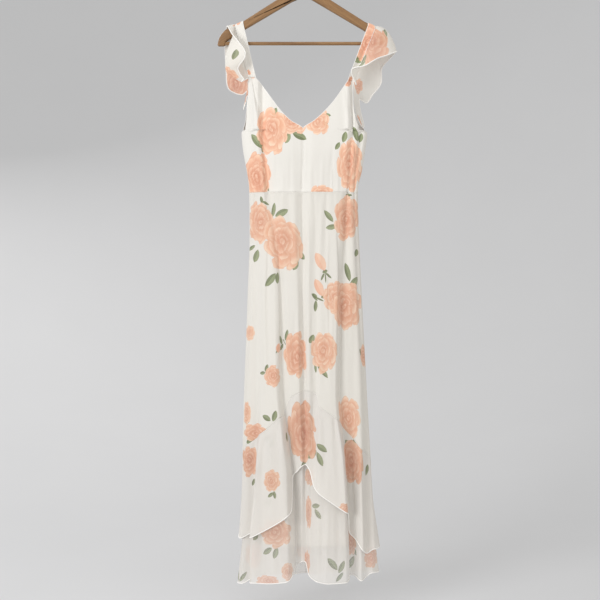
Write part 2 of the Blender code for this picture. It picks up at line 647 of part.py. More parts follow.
def build_hanger(collection, cutters):
    """Wooden arms cut for the bar and the hook's shank, the dowel bar, and the wire hook."""
    outline = hanger_outline()
    curve = bpy.data.curves.new("hanger_outline", "CURVE")
    curve.dimensions = "2D"
    curve.fill_mode = "BOTH"
    curve.extrude = 0.5 * ARM_THICK * MM
    spline = curve.splines.new("POLY")
    spline.points.add(len(outline) - 1)
    for point, (x, z) in zip(spline.points, outline):
        point.co = (x * MM, z * MM, 0.0, 1.0)
    spline.use_cyclic_u = True
    flat = bpy.data.objects.new("hanger_outline", curve)
    flat.rotation_euler = (0.5 * math.pi, 0.0, 0.0)
    collection.objects.link(flat)
    bpy.context.view_layer.update()
    evaluated = flat.evaluated_get(bpy.context.evaluated_depsgraph_get())
    data = bpy.data.meshes.new_from_object(evaluated)
    data.name = "hanger_arms"
    welded = bmesh.new()
    welded.from_mesh(data)
    bmesh.ops.remove_doubles(welded, verts=welded.verts, dist=0.01 * MM)
    bmesh.ops.recalc_face_normals(welded, faces=welded.faces)
    welded.to_mesh(data)
    welded.free()
    arms = add_object("hanger_arms", data, WOOD, collection)
    arms.matrix_world = flat.matrix_world
    bpy.data.objects.remove(flat, do_unlink=True)

    edge = arms.modifiers.new("rounded_edges", "BEVEL")
    edge.width = ARM_EDGE * MM
    edge.segments = 3
    edge.limit_method = "ANGLE"
    edge.angle_limit = math.radians(60.0)

    across = Matrix.Rotation(0.5 * math.pi, 4, "Y")
    hole = add_cutter("bar_hole", BAR_HOLE_RADIUS, 2.0 * BAR_HOLE_OUT, Vector((0.0, 0.0, -BAR_DROP)),
                      across, cutters)
    shank_centre = Vector((0.0, 0.0, -(arm_top_at(0.0) + 0.5 * (HOOK_HOLE_DEPTH - HOLE_OVERRUN))))
    shank_hole = add_cutter("shank_hole", HOOK_HOLE_RADIUS, HOOK_HOLE_DEPTH + HOLE_OVERRUN, shank_centre,
                            Matrix.Identity(4), cutters)
    for cutter in (hole, shank_hole):
        cut = arms.modifiers.new(cutter.name, "BOOLEAN")
        cut.operation = "DIFFERENCE"
        cut.solver = "EXACT"
        cut.object = cutter

    bar = bmesh.new()
    placed = Matrix.Translation((0.0, 0.0, -BAR_DROP * MM)) @ across
    bmesh.ops.create_cone(
        bar, cap_ends=True, segments=20, radius1=BAR_RADIUS * MM, radius2=BAR_RADIUS * MM,
        depth=2.0 * (BAR_HOLE_OUT - SEAM_GAP) * MM, matrix=placed,
    )
    bar_data = bpy.data.meshes.new("hanger_bar")
    bar.to_mesh(bar_data)
    bar.free()
    bar_data.shade_smooth()
    bar_data.set_sharp_from_angle(angle=math.radians(40.0))
    add_object("hanger_bar", bar_data, WOOD, collection)
    build_hook(collection)


def hook_path():
    """Centre line of the wire: up the shank, out to the right, over and down to the left."""
    radius = HOOK_INNER_RADIUS + HOOK_WIRE_RADIUS
    foot = arm_top_at(0.0) + HOOK_HOLE_DEPTH - 2.0 * SEAM_GAP
    start = math.radians(HOOK_START_ANGLE)
    bend = Vector((radius * math.cos(start), 0.0, radius * math.sin(start) - HOOK_INNER_RADIUS))
    heading = Vector((-math.sin(start), 0.0, math.cos(start)))
    shank_top = Vector((0.0, 0.0, -HOOK_SHANK_TOP))
    points = [Vector((0.0, 0.0, -foot)), Vector((0.0, 0.0, -0.5 * (foot + HOOK_SHANK_TOP)))]
    reach = (bend - shank_top).length
    pull_up = shank_top + Vector((0.0, 0.0, HOOK_PULL * reach))
    pull_back = bend - heading * HOOK_PULL * reach
    for step in range(HOOK_NECK_STEPS):
        f = step / HOOK_NECK_STEPS
        points.append(shank_top * (1 - f) ** 3 + pull_up * 3 * f * (1 - f) ** 2
                      + pull_back * 3 * f * f * (1 - f) + bend * f ** 3)
    for step in range(HOOK_ARC_STEPS + 1):
        angle = math.radians(mix(HOOK_START_ANGLE, HOOK_END_ANGLE, step / HOOK_ARC_STEPS))
        points.append(Vector((radius * math.cos(angle), 0.0, radius * math.sin(angle) - HOOK_INNER_RADIUS)))
    return points


def build_hook(collection):
    points = hook_path()
    curve = bpy.data.curves.new("hanger_hook", "CURVE")
    curve.dimensions = "3D"
    curve.bevel_depth = HOOK_WIRE_RADIUS * MM
    curve.bevel_resolution = 2
    curve.use_fill_caps = True
    spline = curve.splines.new("POLY")
    spline.points.add(len(points) - 1)
    for point, place in zip(spline.points, points):
        point.co = (*(place * MM), 1.0)
    add_object("hanger_hook", curve, STEEL, collection)


def main():
    for item in list(bpy.data.objects):
        bpy.data.objects.remove(item, do_unlink=True)
    parts = bpy.data.collections.new(COLLECTION)
    cutters = bpy.data.collections.new("cutters")
    bpy.context.scene.collection.children.link(parts)
    bpy.context.scene.collection.children.link(cutters)
    build_hanger(parts, cutters)
    build_straps(parts)
    build_flutter("flutter_left", STRAP_LEFT, FLUTTER_LEFT, parts)
    build_flutter("flutter_right", STRAP_RIGHT, FLUTTER_RIGHT, parts)
    build_bodice(parts)
    build_skirt(parts)


main()
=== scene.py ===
"""Looks of a maxi dress on its hanger: sheer printed chiffon over a slip, rolled hems and wood.

Sizes are millimetres and a drop is measured down from the inside of the hook. +X is the
viewer's right and the front of the dress faces -Y. The print is laid out in squares.
"""

import math
from collections import namedtuple

import bpy
import numpy as np
from mathutils import Matrix, Vector


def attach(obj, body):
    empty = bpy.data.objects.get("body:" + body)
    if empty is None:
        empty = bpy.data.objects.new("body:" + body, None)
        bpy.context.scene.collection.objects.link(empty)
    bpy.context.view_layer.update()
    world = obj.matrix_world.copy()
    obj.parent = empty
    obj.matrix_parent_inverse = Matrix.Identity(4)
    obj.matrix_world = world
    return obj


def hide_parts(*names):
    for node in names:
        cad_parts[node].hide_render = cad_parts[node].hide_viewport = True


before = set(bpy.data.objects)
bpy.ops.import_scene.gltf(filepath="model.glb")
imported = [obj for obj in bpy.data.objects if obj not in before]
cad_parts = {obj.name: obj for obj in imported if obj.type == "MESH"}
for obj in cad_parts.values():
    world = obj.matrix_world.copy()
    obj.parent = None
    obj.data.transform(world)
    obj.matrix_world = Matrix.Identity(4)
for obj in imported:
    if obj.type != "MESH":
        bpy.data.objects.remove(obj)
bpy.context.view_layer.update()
bpy.ops.object.select_all(action="DESELECT")

MM = 0.001
FRONT = -1
BACK = 1

# Thin shells lie inside the walls of the solids that they replace
SHELL = 0.5
SHELL_LIFT = 0.35
CLEARANCE = 1.9
SEAM_CALM = 9.0
HEM_RADIUS = 1.5
PIPING_RADIUS = 0.75
SEAM_RADIUS = 0.6

# Levels of the dress
STRAP_JOINT_LEFT = 322.0
STRAP_JOINT_RIGHT = 331.0
NECK_POINT_FRONT = 456.0
NECK_POINT_BACK = 458.0
NECK_POINT_X = -1.5
UNDERARM = 462.0
WAIST = 616.5
LINING_HEM = 1525.0
LOWER_INSET = 10.0
LOWER_SPREAD = 150.0

# Plan of the body at each level: an oval as deep as it stands off the centre line
Ring = namedtuple("Ring", "drop left right depth")
RINGS = (
    Ring(300.0, -160.0, 162.0, 19.0),
    Ring(400.0, -160.0, 163.0, 26.0),
    Ring(462.0, -159.0, 163.0, 32.0),
    Ring(506.0, -155.0, 158.0, 33.0),
    Ring(557.0, -146.0, 150.0, 29.0),
    Ring(611.0, -139.0, 139.0, 24.0),
    Ring(728.0, -138.0, 142.0, 34.0),
    Ring(880.0, -143.0, 149.0, 41.0),
    Ring(1016.0, -148.0, 156.0, 45.0),
    Ring(1150.0, -153.0, 163.0, 49.0),
    Ring(1262.0, -156.0, 169.0, 53.0),
    Ring(1388.0, -159.0, 176.0, 57.0),
    Ring(1530.0, -169.0, 196.0, 61.0),
    Ring(1640.0, -180.0, 206.0, 64.0),
)
RING_POWER = 2.2

# Fold lines from the left side seam to the right one. x and proud are read at STATIONS.
STATIONS = (450.0, 611.0, 880.0, 1120.0, 1340.0, 1560.0)
Fold = namedtuple("Fold", "name x proud arch upper_hem lower_hem")
FLAT = (0.0, 0.0, 0.0, 0.0, 0.0, 0.0)
FRONT_FOLDS = (
    Fold("left_seam", None, FLAT, 1285, 1496, 1620),
    Fold("left_roll", (-140, -133, -136, -143, -149, -162), (1, 0, 1, 1, 2, 3), 1266, 1502, 1617),
    Fold("left_dip", (-133, -125, -123, -120, -122, -141), (0, -1, -3, -4, -9, -12), 1244, 1486, 1605),
    Fold("left_lip", (-128, -118, -110, -107, -114, -132), (2, 0, 1, 3, 8, 14), 1233, 1492, 1608),
    Fold("left_ridge", (-123, -110, -92, -87, -82, -92), (3, 1, 4, 7, 13, 18), 1214, 1469, 1607),
    Fold("left_crest", (-118, -103, -75, -69, -44, -40), (3, 2, 5, 9, 16, 20), 1193, 1437, 1600),
    Fold("left_edge", (-112, -97, -66, -60, -35, -29), (-1, -1, 1, 2, 3, 3), 1188, 1425, 1589),
    Fold("left_fall", (-106, -89, -58, -52, -29, -21), (-6, -5, -6, -9, -18, -26), 1170, 1343, 1569),
    Fold("centre_left", (-82, -66, -40, -33, -16, -12), (3, 2, 2, 2, -8, -20), 1140, 1326, 1563),
    Fold("centre_ridge", (-35, -30, -17, -12, -4, -3), (1, 2, 4, 5, 0, -12), 1128, 1312, 1556),
    Fold("centre_crease", (-2, -2, -2, 0, 4, 5), (-2, -4, -5, -6, -6, -12), 1125, 1309, 1558),
    Fold("centre_right", (24, 19, 13, 13, 15, 14), (1, 2, 3, 4, 1, 2), 1124, 1322, 1588),
    Fold("right_gutter", (53, 42, 29, 31, 26, 23), (1, 1, 0, -1, 4, 12), 1131, 1362, 1595),
    Fold("right_lip", (73, 59, 45, 41, 37, 35), (2, 1, 3, 5, 12, 20), 1163, 1378, 1600),
    Fold("right_ridge", (91, 76, 63, 60, 66, 63), (3, 2, 5, 8, 16, 24), 1178, 1400, 1604),
    Fold("right_crest", (109, 94, 81, 77, 96, 104), (3, 2, 6, 9, 16, 22), 1192, 1425, 1603),
    Fold("right_edge", (117, 107, 91, 86, 107, 116), (-1, 0, 0, 1, 1, 3), 1202, 1434, 1601),
    Fold("right_fall", (124, 115, 100, 96, 115, 124), (-5, -5, -6, -9, -18, -24), 1218, 1486, 1597),
    Fold("side_hollow", (130, 121, 117, 117, 133, 135), (2, 1, -1, -3, -12, -14), 1243, 1500, 1594),
    Fold("side_ridge", (136, 126, 131, 140, 144, 146), (1, 1, 4, 5, 7, 8), 1271, 1525, 1604),
    Fold("side_dip", (146, 131, 140, 153, 162, 164), (-3, -1, -1, -1, -4, -6), 1284, 1537, 1600),
    Fold("right_roll", (155, 135, 145, 160, 171, 179), (1, 0, 1, 1, 2, 3), 1301, 1527, 1589),
    Fold("right_seam", None, FLAT, 1318, 1527, 1592),
)
BACK_FOLDS = (
    Fold("left_seam", None, FLAT, 1285, 1496, 1620),
    Fold("left_roll", (-140, -130, -133, -140, -146, -160), (1, 0, 1, 1, 2, 3), 1296, 1510, 1620),
    Fold("left_dip", (-120, -112, -112, -116, -120, -134), (-2, -2, -4, -6, -9, -12), 1306, 1524, 1612),
    Fold("left_ridge", (-92, -88, -86, -86, -90, -100), (2, 2, 6, 9, 14, 18), 1316, 1538, 1618),
    Fold("left_valley", (-64, -58, -52, -50, -56, -62), (-3, -4, -6, -9, -13, -18), 1324, 1536, 1606),
    Fold("centre_left", (-30, -26, -24, -20, -24, -28), (2, 2, 5, 8, 12, 16), 1330, 1546, 1618),
    Fold("centre_dip", (-4, -2, 0, 6, 4, 2), (-2, -3, -5, -8, -12, -16), 1332, 1540, 1606),
    Fold("centre_right", (26, 24, 26, 34, 32, 32), (2, 2, 5, 8, 12, 17), 1334, 1550, 1618),
    Fold("right_valley", (58, 52, 50, 60, 62, 64), (-3, -4, -6, -9, -13, -18), 1332, 1542, 1602),
    Fold("right_ridge", (86, 82, 82, 92, 98, 102), (2, 2, 6, 9, 14, 18), 1330, 1546, 1610),
    Fold("right_dip", (114, 106, 112, 122, 130, 136), (-2, -2, -4, -6, -9, -12), 1326, 1536, 1600),
    Fold("right_roll", (146, 130, 140, 152, 164, 176), (1, 0, 1, 1, 2, 3), 1322, 1532, 1598),
    Fold("right_seam", None, FLAT, 1318, 1527, 1592),
)
FOLDS = {FRONT: FRONT_FOLDS, BACK: BACK_FOLDS}

# The lining follows the outer folds less and lies deeper the lower it hangs
LiningLevel = namedtuple("LiningLevel", "drop follow inset shrink")
LINING = (
    LiningLevel(611.0, 1.0, 2.6, 0.0),
    LiningLevel(700.0, 0.7, 5.2, 0.0),
    LiningLevel(880.0, 0.4, 7.5, 0.0),
    LiningLevel(1120.0, 0.3, 8.0, 4.0),
    LiningLevel(1180.0, 0.2, 9.0, 11.0),
    LiningLevel(1340.0, 0.15, 11.0, 22.0),
    LiningLevel(1530.0, 0.15, 11.0, 31.0),
)
SHRINK_ACROSS = 1.6

# Cut edges of the bodice: where armhole and neckline lie at each level
BodiceEdge = namedtuple("BodiceEdge", "drop armhole_left neck_left neck_right armhole_right")
FRONT_EDGES = (
    BodiceEdge(322.0, -140.5, -122.8, 120.0, 130.0),
    BodiceEdge(331.0, -140.0, -115.5, 113.0, 128.5),
    BodiceEdge(352.5, -140.0, -99.5, 98.5, 126.5),
    BodiceEdge(380.0, -143.0, -80.0, 79.5, 126.5),
    BodiceEdge(407.0, -144.5, -60.0, 56.5, 128.0),
    BodiceEdge(434.5, -146.0, -33.0, 27.0, 134.0),
    BodiceEdge(456.0, -148.0, -1.5, -1.5, 142.0),
)
BACK_EDGES = (
    BodiceEdge(322.0, -140.5, -122.8, 120.0, 130.0),
    BodiceEdge(331.0, -140.5, -116.0, 113.0, 128.5),
    BodiceEdge(351.0, -141.5, -101.0, 99.0, 128.0),
    BodiceEdge(377.0, -145.0, -82.0, 81.0, 129.0),
    BodiceEdge(402.0, -147.5, -62.0, 60.0, 132.0),
    BodiceEdge(428.0, -150.0, -38.0, 34.0, 139.0),
    BodiceEdge(458.0, -156.0, -1.5, -1.5, 158.0),
)

# Straps pass over the arms, and flutters are sewn outside them
STRAP_STANDOFF = 0.8
STRAP_BEND = 0.12
STRAP_CORNER = 3.5
Strap = namedtuple("Strap", "side joint inner_joint outer_joint inner_top outer_top")
STRAP_LEFT = Strap(-1, STRAP_JOINT_LEFT, 122.8, 140.5, 156.0, 175.0)
STRAP_RIGHT = Strap(1, STRAP_JOINT_RIGHT, 113.0, 128.5, 166.0, 184.0)
FLUTTER_GAP = 0.95
ARMHOLE_GAP = 1.9
ARMHOLE_STEP = 100.0
Station = namedtuple("Station", "along mid_out mid_front mid_drop hem_out hem_front hem_drop")
FLUTTER_LEFT = (
    Station(-1.00, 172, 24, 342, 152, 28, 330),
    Station(-0.78, 232, 32, 332, 167, 38, 304),
    Station(-0.55, 244, 28, 298, 149, 47, 278),
    Station(-0.32, 228, 20, 266, 151, 46, 258),
    Station(-0.14, 182, 16, 206, 178, 30, 221),
    Station(-0.06, 184, 13, 190, 189, 20, 201),
    Station(0.00, 188, 0, 180, 197, 0, 186),
    Station(0.06, 192, -12, 188, 201, -15, 200),
    Station(0.14, 190, -16, 206, 204, -22, 240),
    Station(0.32, 184, -19, 256, 201, -27, 300),
    Station(0.50, 176, -20, 298, 197, -30, 338),
    Station(0.68, 166, -20, 322, 180, -32, 352),
    Station(0.85, 154, -19, 332, 160, -30, 357),
    Station(1.02, 146, -18, 338, 146, -24, 350),
    Station(1.20, 151, -20, 360, 157, -24, 396),
    Station(1.40, 149, -18, 368, 149, -20, 376),
)
FLUTTER_RIGHT = (
    Station(-1.00, 136, 19, 337, 134, 24, 342),
    Station(-0.80, 148, 32, 298, 121, 42, 307),
    Station(-0.55, 166, 38, 266, 156, 46, 299),
    Station(-0.32, 170, 32, 236, 188, 42, 279),
    Station(-0.16, 207, 24, 210, 214, 32, 268),
    Station(-0.07, 219, 15, 196, 234, 18, 258),
    Station(0.00, 224, 0, 184, 238, 0, 252),
    Station(0.07, 218, -15, 194, 228, -16, 262),
    Station(0.20, 200, -18, 226, 204, -22, 290),
    Station(0.40, 186, -18, 268, 202, -26, 328),
    Station(0.62, 170, -20, 310, 180, -30, 358),
    Station(0.85, 152, -20, 330, 164, -28, 379),
    Station(1.02, 140, -18, 345, 145, -24, 372),
    Station(1.25, 142, -18, 385, 152, -24, 412),
    Station(1.55, 140, -18, 410, 156, -22, 440),
    Station(1.85, 146, -16, 432, 150, -18, 446),
)

# Hanger: a flat wooden A with a dowel across its ends
ARM_THICK = 13.0
ARM_EDGE = 4.0
ArmPoint = namedtuple("ArmPoint", "out top")
ARM_TOP = (
    ArmPoint(0.0, 75.0),
    ArmPoint(16.0, 79.0),
    ArmPoint(30.0, 94.5),
    ArmPoint(158.9, 176.5),
    ArmPoint(177.0, 184.5),
    ArmPoint(193.8, 192.2),
    ArmPoint(201.8, 196.6),
    ArmPoint(211.6, 207.4),
    ArmPoint(217.5, 217.5),
    ArmPoint(221.6, 232.2),
)
ARM_END_DROP = 238.0
ARM_END_OUT = 222.0
LUG_OUT = 203.0
LUG_STEP = 2.0
ARM_UNDER = (
    ArmPoint(200.0, 226.5),
    ArmPoint(193.8, 222.4),
    ArmPoint(177.0, 211.6),
    ArmPoint(153.3, 196.6),
    ArmPoint(21.2, 118.7),
    ArmPoint(9.0, 112.5),
    ArmPoint(0.0, 110.5),
)
BAR_RADIUS = 4.5
BAR_DROP = 231.2
BAR_OUT = 214.7
BAR_HOLE_RADIUS = 4.9
BAR_HOLE_OUT = 215.0
HOOK_WIRE_RADIUS = 2.0
HOOK_INNER_RADIUS = 17.0
HOOK_HOLE_RADIUS = 2.4
HOOK_HOLE_DEPTH = 22.0
HOOK_FOOT_GAP = 0.6
HOOK_SHANK_TOP = 54.0
HOOK_START_ANGLE = -48.0
HOOK_END_ANGLE = 196.0
HOOK_PULL = 0.45

# Creases: a ridge or, with a height below 0, a trough from top to foot
# lean 1 or -1 makes a lapped fold, steep on its right or left side
Crease = namedtuple("Crease", "piece x_top drop_top x_foot drop_foot width height lean", defaults=(0,))
CREASES = (
    # the pressed line down the centre front
    Crease("bodice_front", -3, 400, -5, 820, 2.6, -3.2),
    Crease("bodice_front", 3, 470, 2, 640, 5.0, 1.0),
    Crease("skirt_front", -3, 480, -2, 900, 2.6, -2.8),
    Crease("skirt_front", -1, 820, 1, 1180, 3.5, -2.2),
    # the side pleats of the bodice
    Crease("bodice_front", -138, 312, -116, 440, 7.0, 4.8, 1),
    Crease("bodice_front", -119, 385, -103, 560, 8.0, 6.2, 1),
    Crease("bodice_front", -106, 500, -92, 800, 8.0, 5.2, 1),
    Crease("bodice_front", -100, 420, -88, 600, 5.5, 1.6),
    Crease("bodice_front", -112, 540, -108, 780, 3.0, -1.8),
    Crease("bodice_front", 71, 530, 73, 780, 3.0, 1.8, 1),
    Crease("bodice_front", -124, 350, -118, 560, 5.0, 1.6),
    Crease("bodice_front", -128, 335, -103, 412, 4.0, 1.4),
    Crease("bodice_front", 117, 318, 122, 450, 7.0, 4.6, 1),
    Crease("bodice_front", 122, 400, 125, 560, 8.0, 6.0, 1),
    Crease("bodice_front", 125, 500, 101, 820, 8.0, 5.6, 1),
    Crease("bodice_front", 138, 420, 133, 600, 4.0, 1.8),
    Crease("bodice_front", 134, 500, 121, 800, 2.6, -2.0),
    Crease("bodice_front", 112, 380, 106, 600, 6.0, 2.2),
    Crease("bodice_front", 104, 345, 110, 450, 4.5, 1.3),
    # soft lines that rise from the waist seam
    Crease("bodice_front", -72, 520, -66, 740, 6.0, -1.3),
    Crease("bodice_front", -52, 545, -50, 740, 5.0, 1.0),
    Crease("bodice_front", -33, 500, -30, 740, 4.5, -1.1),
    Crease("bodice_front", 26, 530, 24, 740, 5.5, -1.0),
    Crease("bodice_front", 48, 505, 46, 740, 5.0, 1.1),
    Crease("bodice_front", 74, 480, 70, 740, 6.0, -1.6),
    Crease("bodice_front", 88, 540, 84, 740, 4.0, 1.2),
    # folds that start under the waist and run out at uneven lengths
    Crease("skirt_front", -122, 555, -128, 860, 5.5, -1.8),
    Crease("skirt_front", -112, 555, -116, 760, 5.0, 1.5),
    Crease("skirt_front", -96, 555, -86, 1010, 5.5, -1.7),
    Crease("skirt_front", -80, 580, -72, 830, 6.0, 1.6),
    Crease("skirt_front", -54, 555, -50, 980, 6.0, 1.4),
    Crease("skirt_front", -38, 600, -36, 740, 4.0, -1.2),
    Crease("skirt_front", -24, 555, -18, 900, 6.5, 1.2),
    Crease("skirt_front", 10, 600, 12, 1000, 5.0, 1.7),
    Crease("skirt_front", 30, 555, 26, 860, 4.5, -1.5),
    Crease("skirt_front", 44, 555, 40, 1120, 5.5, 1.6),
    Crease("skirt_front", 58, 555, 56, 930, 5.0, -1.6),
    Crease("skirt_front", 84, 640, 84, 1260, 8.0, 3.4, 1),
    Crease("skirt_front", 62, 700, 58, 1160, 7.0, 1.8, 1),
    Crease("skirt_front", 104, 555, 112, 880, 5.0, -1.8),
    Crease("skirt_front", 118, 600, 126, 1000, 5.5, 1.7),
    # longer falls lower down
    Crease("skirt_front", -136, 690, -146, 1230, 5.0, 1.6),
    Crease("skirt_front", -112, 800, -104, 1260, 6.5, -1.7),
    Crease("skirt_front", -68, 660, -60, 1240, 8.0, 3.2, 1),
    Crease("skirt_front", -96, 720, -94, 1180, 8.0, 2.2, 1),
    Crease("skirt_front", -124, 640, -142, 1280, 7.0, 2.4, -1),
    Crease("skirt_front", -44, 860, -38, 1160, 6.0, 1.5),
    Crease("skirt_front", -24, 900, -22, 1150, 5.0, -1.6),
    Crease("skirt_front", 22, 900, 22, 1160, 4.5, -1.7),
    Crease("skirt_front", 56, 900, 52, 1180, 6.0, -1.5),
    Crease("skirt_front", 70, 880, 66, 1200, 5.0, 1.7),
    Crease("skirt_front", 95, 800, 92, 1230, 3.6, -3.0),
    Crease("skirt_front", 110, 900, 106, 1260, 6.0, 1.5),
    Crease("skirt_front", 126, 820, 132, 1280, 6.0, -1.8),
    Crease("skirt_front", 138, 700, 152, 1290, 5.0, 1.6),
    # upper flounce
    Crease("upper_flounce_front", -111, 1225, -137, 1600, 10.0, 6.5, -1),
    Crease("upper_flounce_front", -136, 1250, -150, 1540, 6.0, 1.6),
    Crease("upper_flounce_front", -116, 1220, -128, 1430, 5.0, 1.8),
    Crease("upper_flounce_front", -98, 1220, -102, 1400, 6.0, -1.9),
    Crease("upper_flounce_front", -84, 1210, -76, 1490, 6.0, 1.8),
    Crease("upper_flounce_front", -70, 1200, -60, 1380, 5.0, -1.9),
    Crease("upper_flounce_front", -54, 1190, -48, 1460, 5.0, 1.6),
    Crease("upper_flounce_front", -20, 1130, -14, 1330, 5.0, 1.7),
    Crease("upper_flounce_front", 6, 1120, 8, 1320, 4.0, -1.6),
    Crease("upper_flounce_front", 22, 1120, 24, 1360, 5.0, -1.8),
    Crease("upper_flounce_front", 50, 1160, 52, 1400, 5.5, -1.8),
    Crease("upper_flounce_front", 66, 1170, 80, 1420, 6.0, 1.8),
    Crease("upper_flounce_front", 74, 1170, 92, 1330, 4.5, -1.6),
    Crease("upper_flounce_front", 82, 1170, 118, 1520, 9.0, 5.5, 1),
    Crease("upper_flounce_front", 128, 1240, 142, 1600, 8.0, 4.2, -1),
    Crease("upper_flounce_front", 100, 1210, 122, 1480, 4.0, -2.4),
    Crease("upper_flounce_front", 120, 1240, 132, 1500, 6.0, 1.6),
    Crease("upper_flounce_front", 144, 1270, 154, 1530, 5.0, -1.8),
    # lower flounce
    Crease("lower_flounce_front", -134, 1400, -142, 1700, 9.0, 4.6, -1),
    Crease("lower_flounce_front", -118, 1430, -124, 1640, 6.0, 1.6),
    Crease("lower_flounce_front", -100, 1400, -106, 1640, 5.0, -1.9),
    Crease("lower_flounce_front", -72, 1400, -76, 1640, 6.0, 1.8),
    Crease("lower_flounce_front", -56, 1420, -58, 1640, 5.0, -1.7),
    Crease("lower_flounce_front", -8, 1330, -6, 1600, 4.0, 1.4),
    Crease("lower_flounce_front", 16, 1330, 20, 1620, 4.0, -1.6),
    Crease("lower_flounce_front", 48, 1380, 46, 1640, 5.0, -1.7),
    Crease("lower_flounce_front", 60, 1390, 56, 1640, 4.0, 1.5),
    Crease("lower_flounce_front", 82, 1400, 84, 1640, 6.0, -1.8),
    Crease("lower_flounce_front", 138, 1480, 138, 1640, 4.0, 1.6),
    # the back, which hangs alike
    Crease("bodice_back", -118, 380, -100, 660, 4.0, -2.6),
    Crease("bodice_back", -84, 490, -80, 660, 6.0, 1.4),
    Crease("bodice_back", -58, 520, -54, 660, 5.0, -1.2),
    Crease("bodice_back", -4, 470, -3, 660, 3.0, -1.8),
    Crease("bodice_back", 44, 520, 40, 660, 5.5, 1.2),
    Crease("bodice_back", 76, 500, 72, 660, 5.0, -1.4),
    Crease("bodice_back", 122, 380, 110, 660, 4.0, -2.6),
    Crease("skirt_back", -118, 555, -124, 960, 5.5, -1.8),
    Crease("skirt_back", -100, 555, -98, 820, 5.0, 1.5),
    Crease("skirt_back", -72, 555, -68, 1100, 5.5, 1.6),
    Crease("skirt_back", -42, 600, -40, 900, 5.0, -1.5),
    Crease("skirt_back", -12, 555, -10, 1200, 4.5, 1.5),
    Crease("skirt_back", 14, 640, 18, 1290, 4.5, -1.8),
    Crease("skirt_back", 40, 555, 44, 1000, 6.0, 1.6),
    Crease("skirt_back", 68, 555, 74, 1240, 5.5, -1.7),
    Crease("skirt_back", 98, 555, 106, 900, 5.0, 1.5),
    Crease("skirt_back", 124, 600, 138, 1250, 5.0, -1.7),
    Crease("upper_flounce_back", -104, 1320, -112, 1560, 6.0, -2.0),
    Crease("upper_flounce_back", -40, 1330, -42, 1560, 6.0, 1.9),
    Crease("upper_flounce_back", 46, 1330, 48, 1560, 6.0, -1.9),
    Crease("upper_flounce_back", 112, 1330, 120, 1560, 6.0, 1.8),
    Crease("lower_flounce_back", -118, 1440, -122, 1640, 6.0, -1.8),
    Crease("lower_flounce_back", -44, 1440, -46, 1640, 6.0, 1.7),
    Crease("lower_flounce_back", 48, 1440, 50, 1640, 6.0, -1.8),
    Crease("lower_flounce_back", 118, 1440, 122, 1640, 6.0, 1.7),
    # the slip under them
    Crease("lining_front", -60, 640, -56, 1540, 7.0, -1.6),
    Crease("lining_front", -20, 700, -22, 1540, 7.0, 1.6),
    Crease("lining_front", 16, 720, 18, 1540, 6.0, -1.6),
    Crease("lining_front", 58, 640, 54, 1540, 7.0, 1.6),
    Crease("lining_back", -40, 640, -38, 1540, 7.0, -1.6),
    Crease("lining_back", 40, 640, 38, 1540, 7.0, 1.6),
)

LAP_STEEPNESS = 0.26
FLOUNCE_DEPTH = 1.4

# Small gathers under a seam, which die out below it
GATHER_HEIGHT = 0.55
GATHER_LENGTH = 26.0
GATHER_WAVES = ((0.23, 0.4, 1.0), (0.37, 1.9, 0.7), (0.59, 3.1, 0.45))

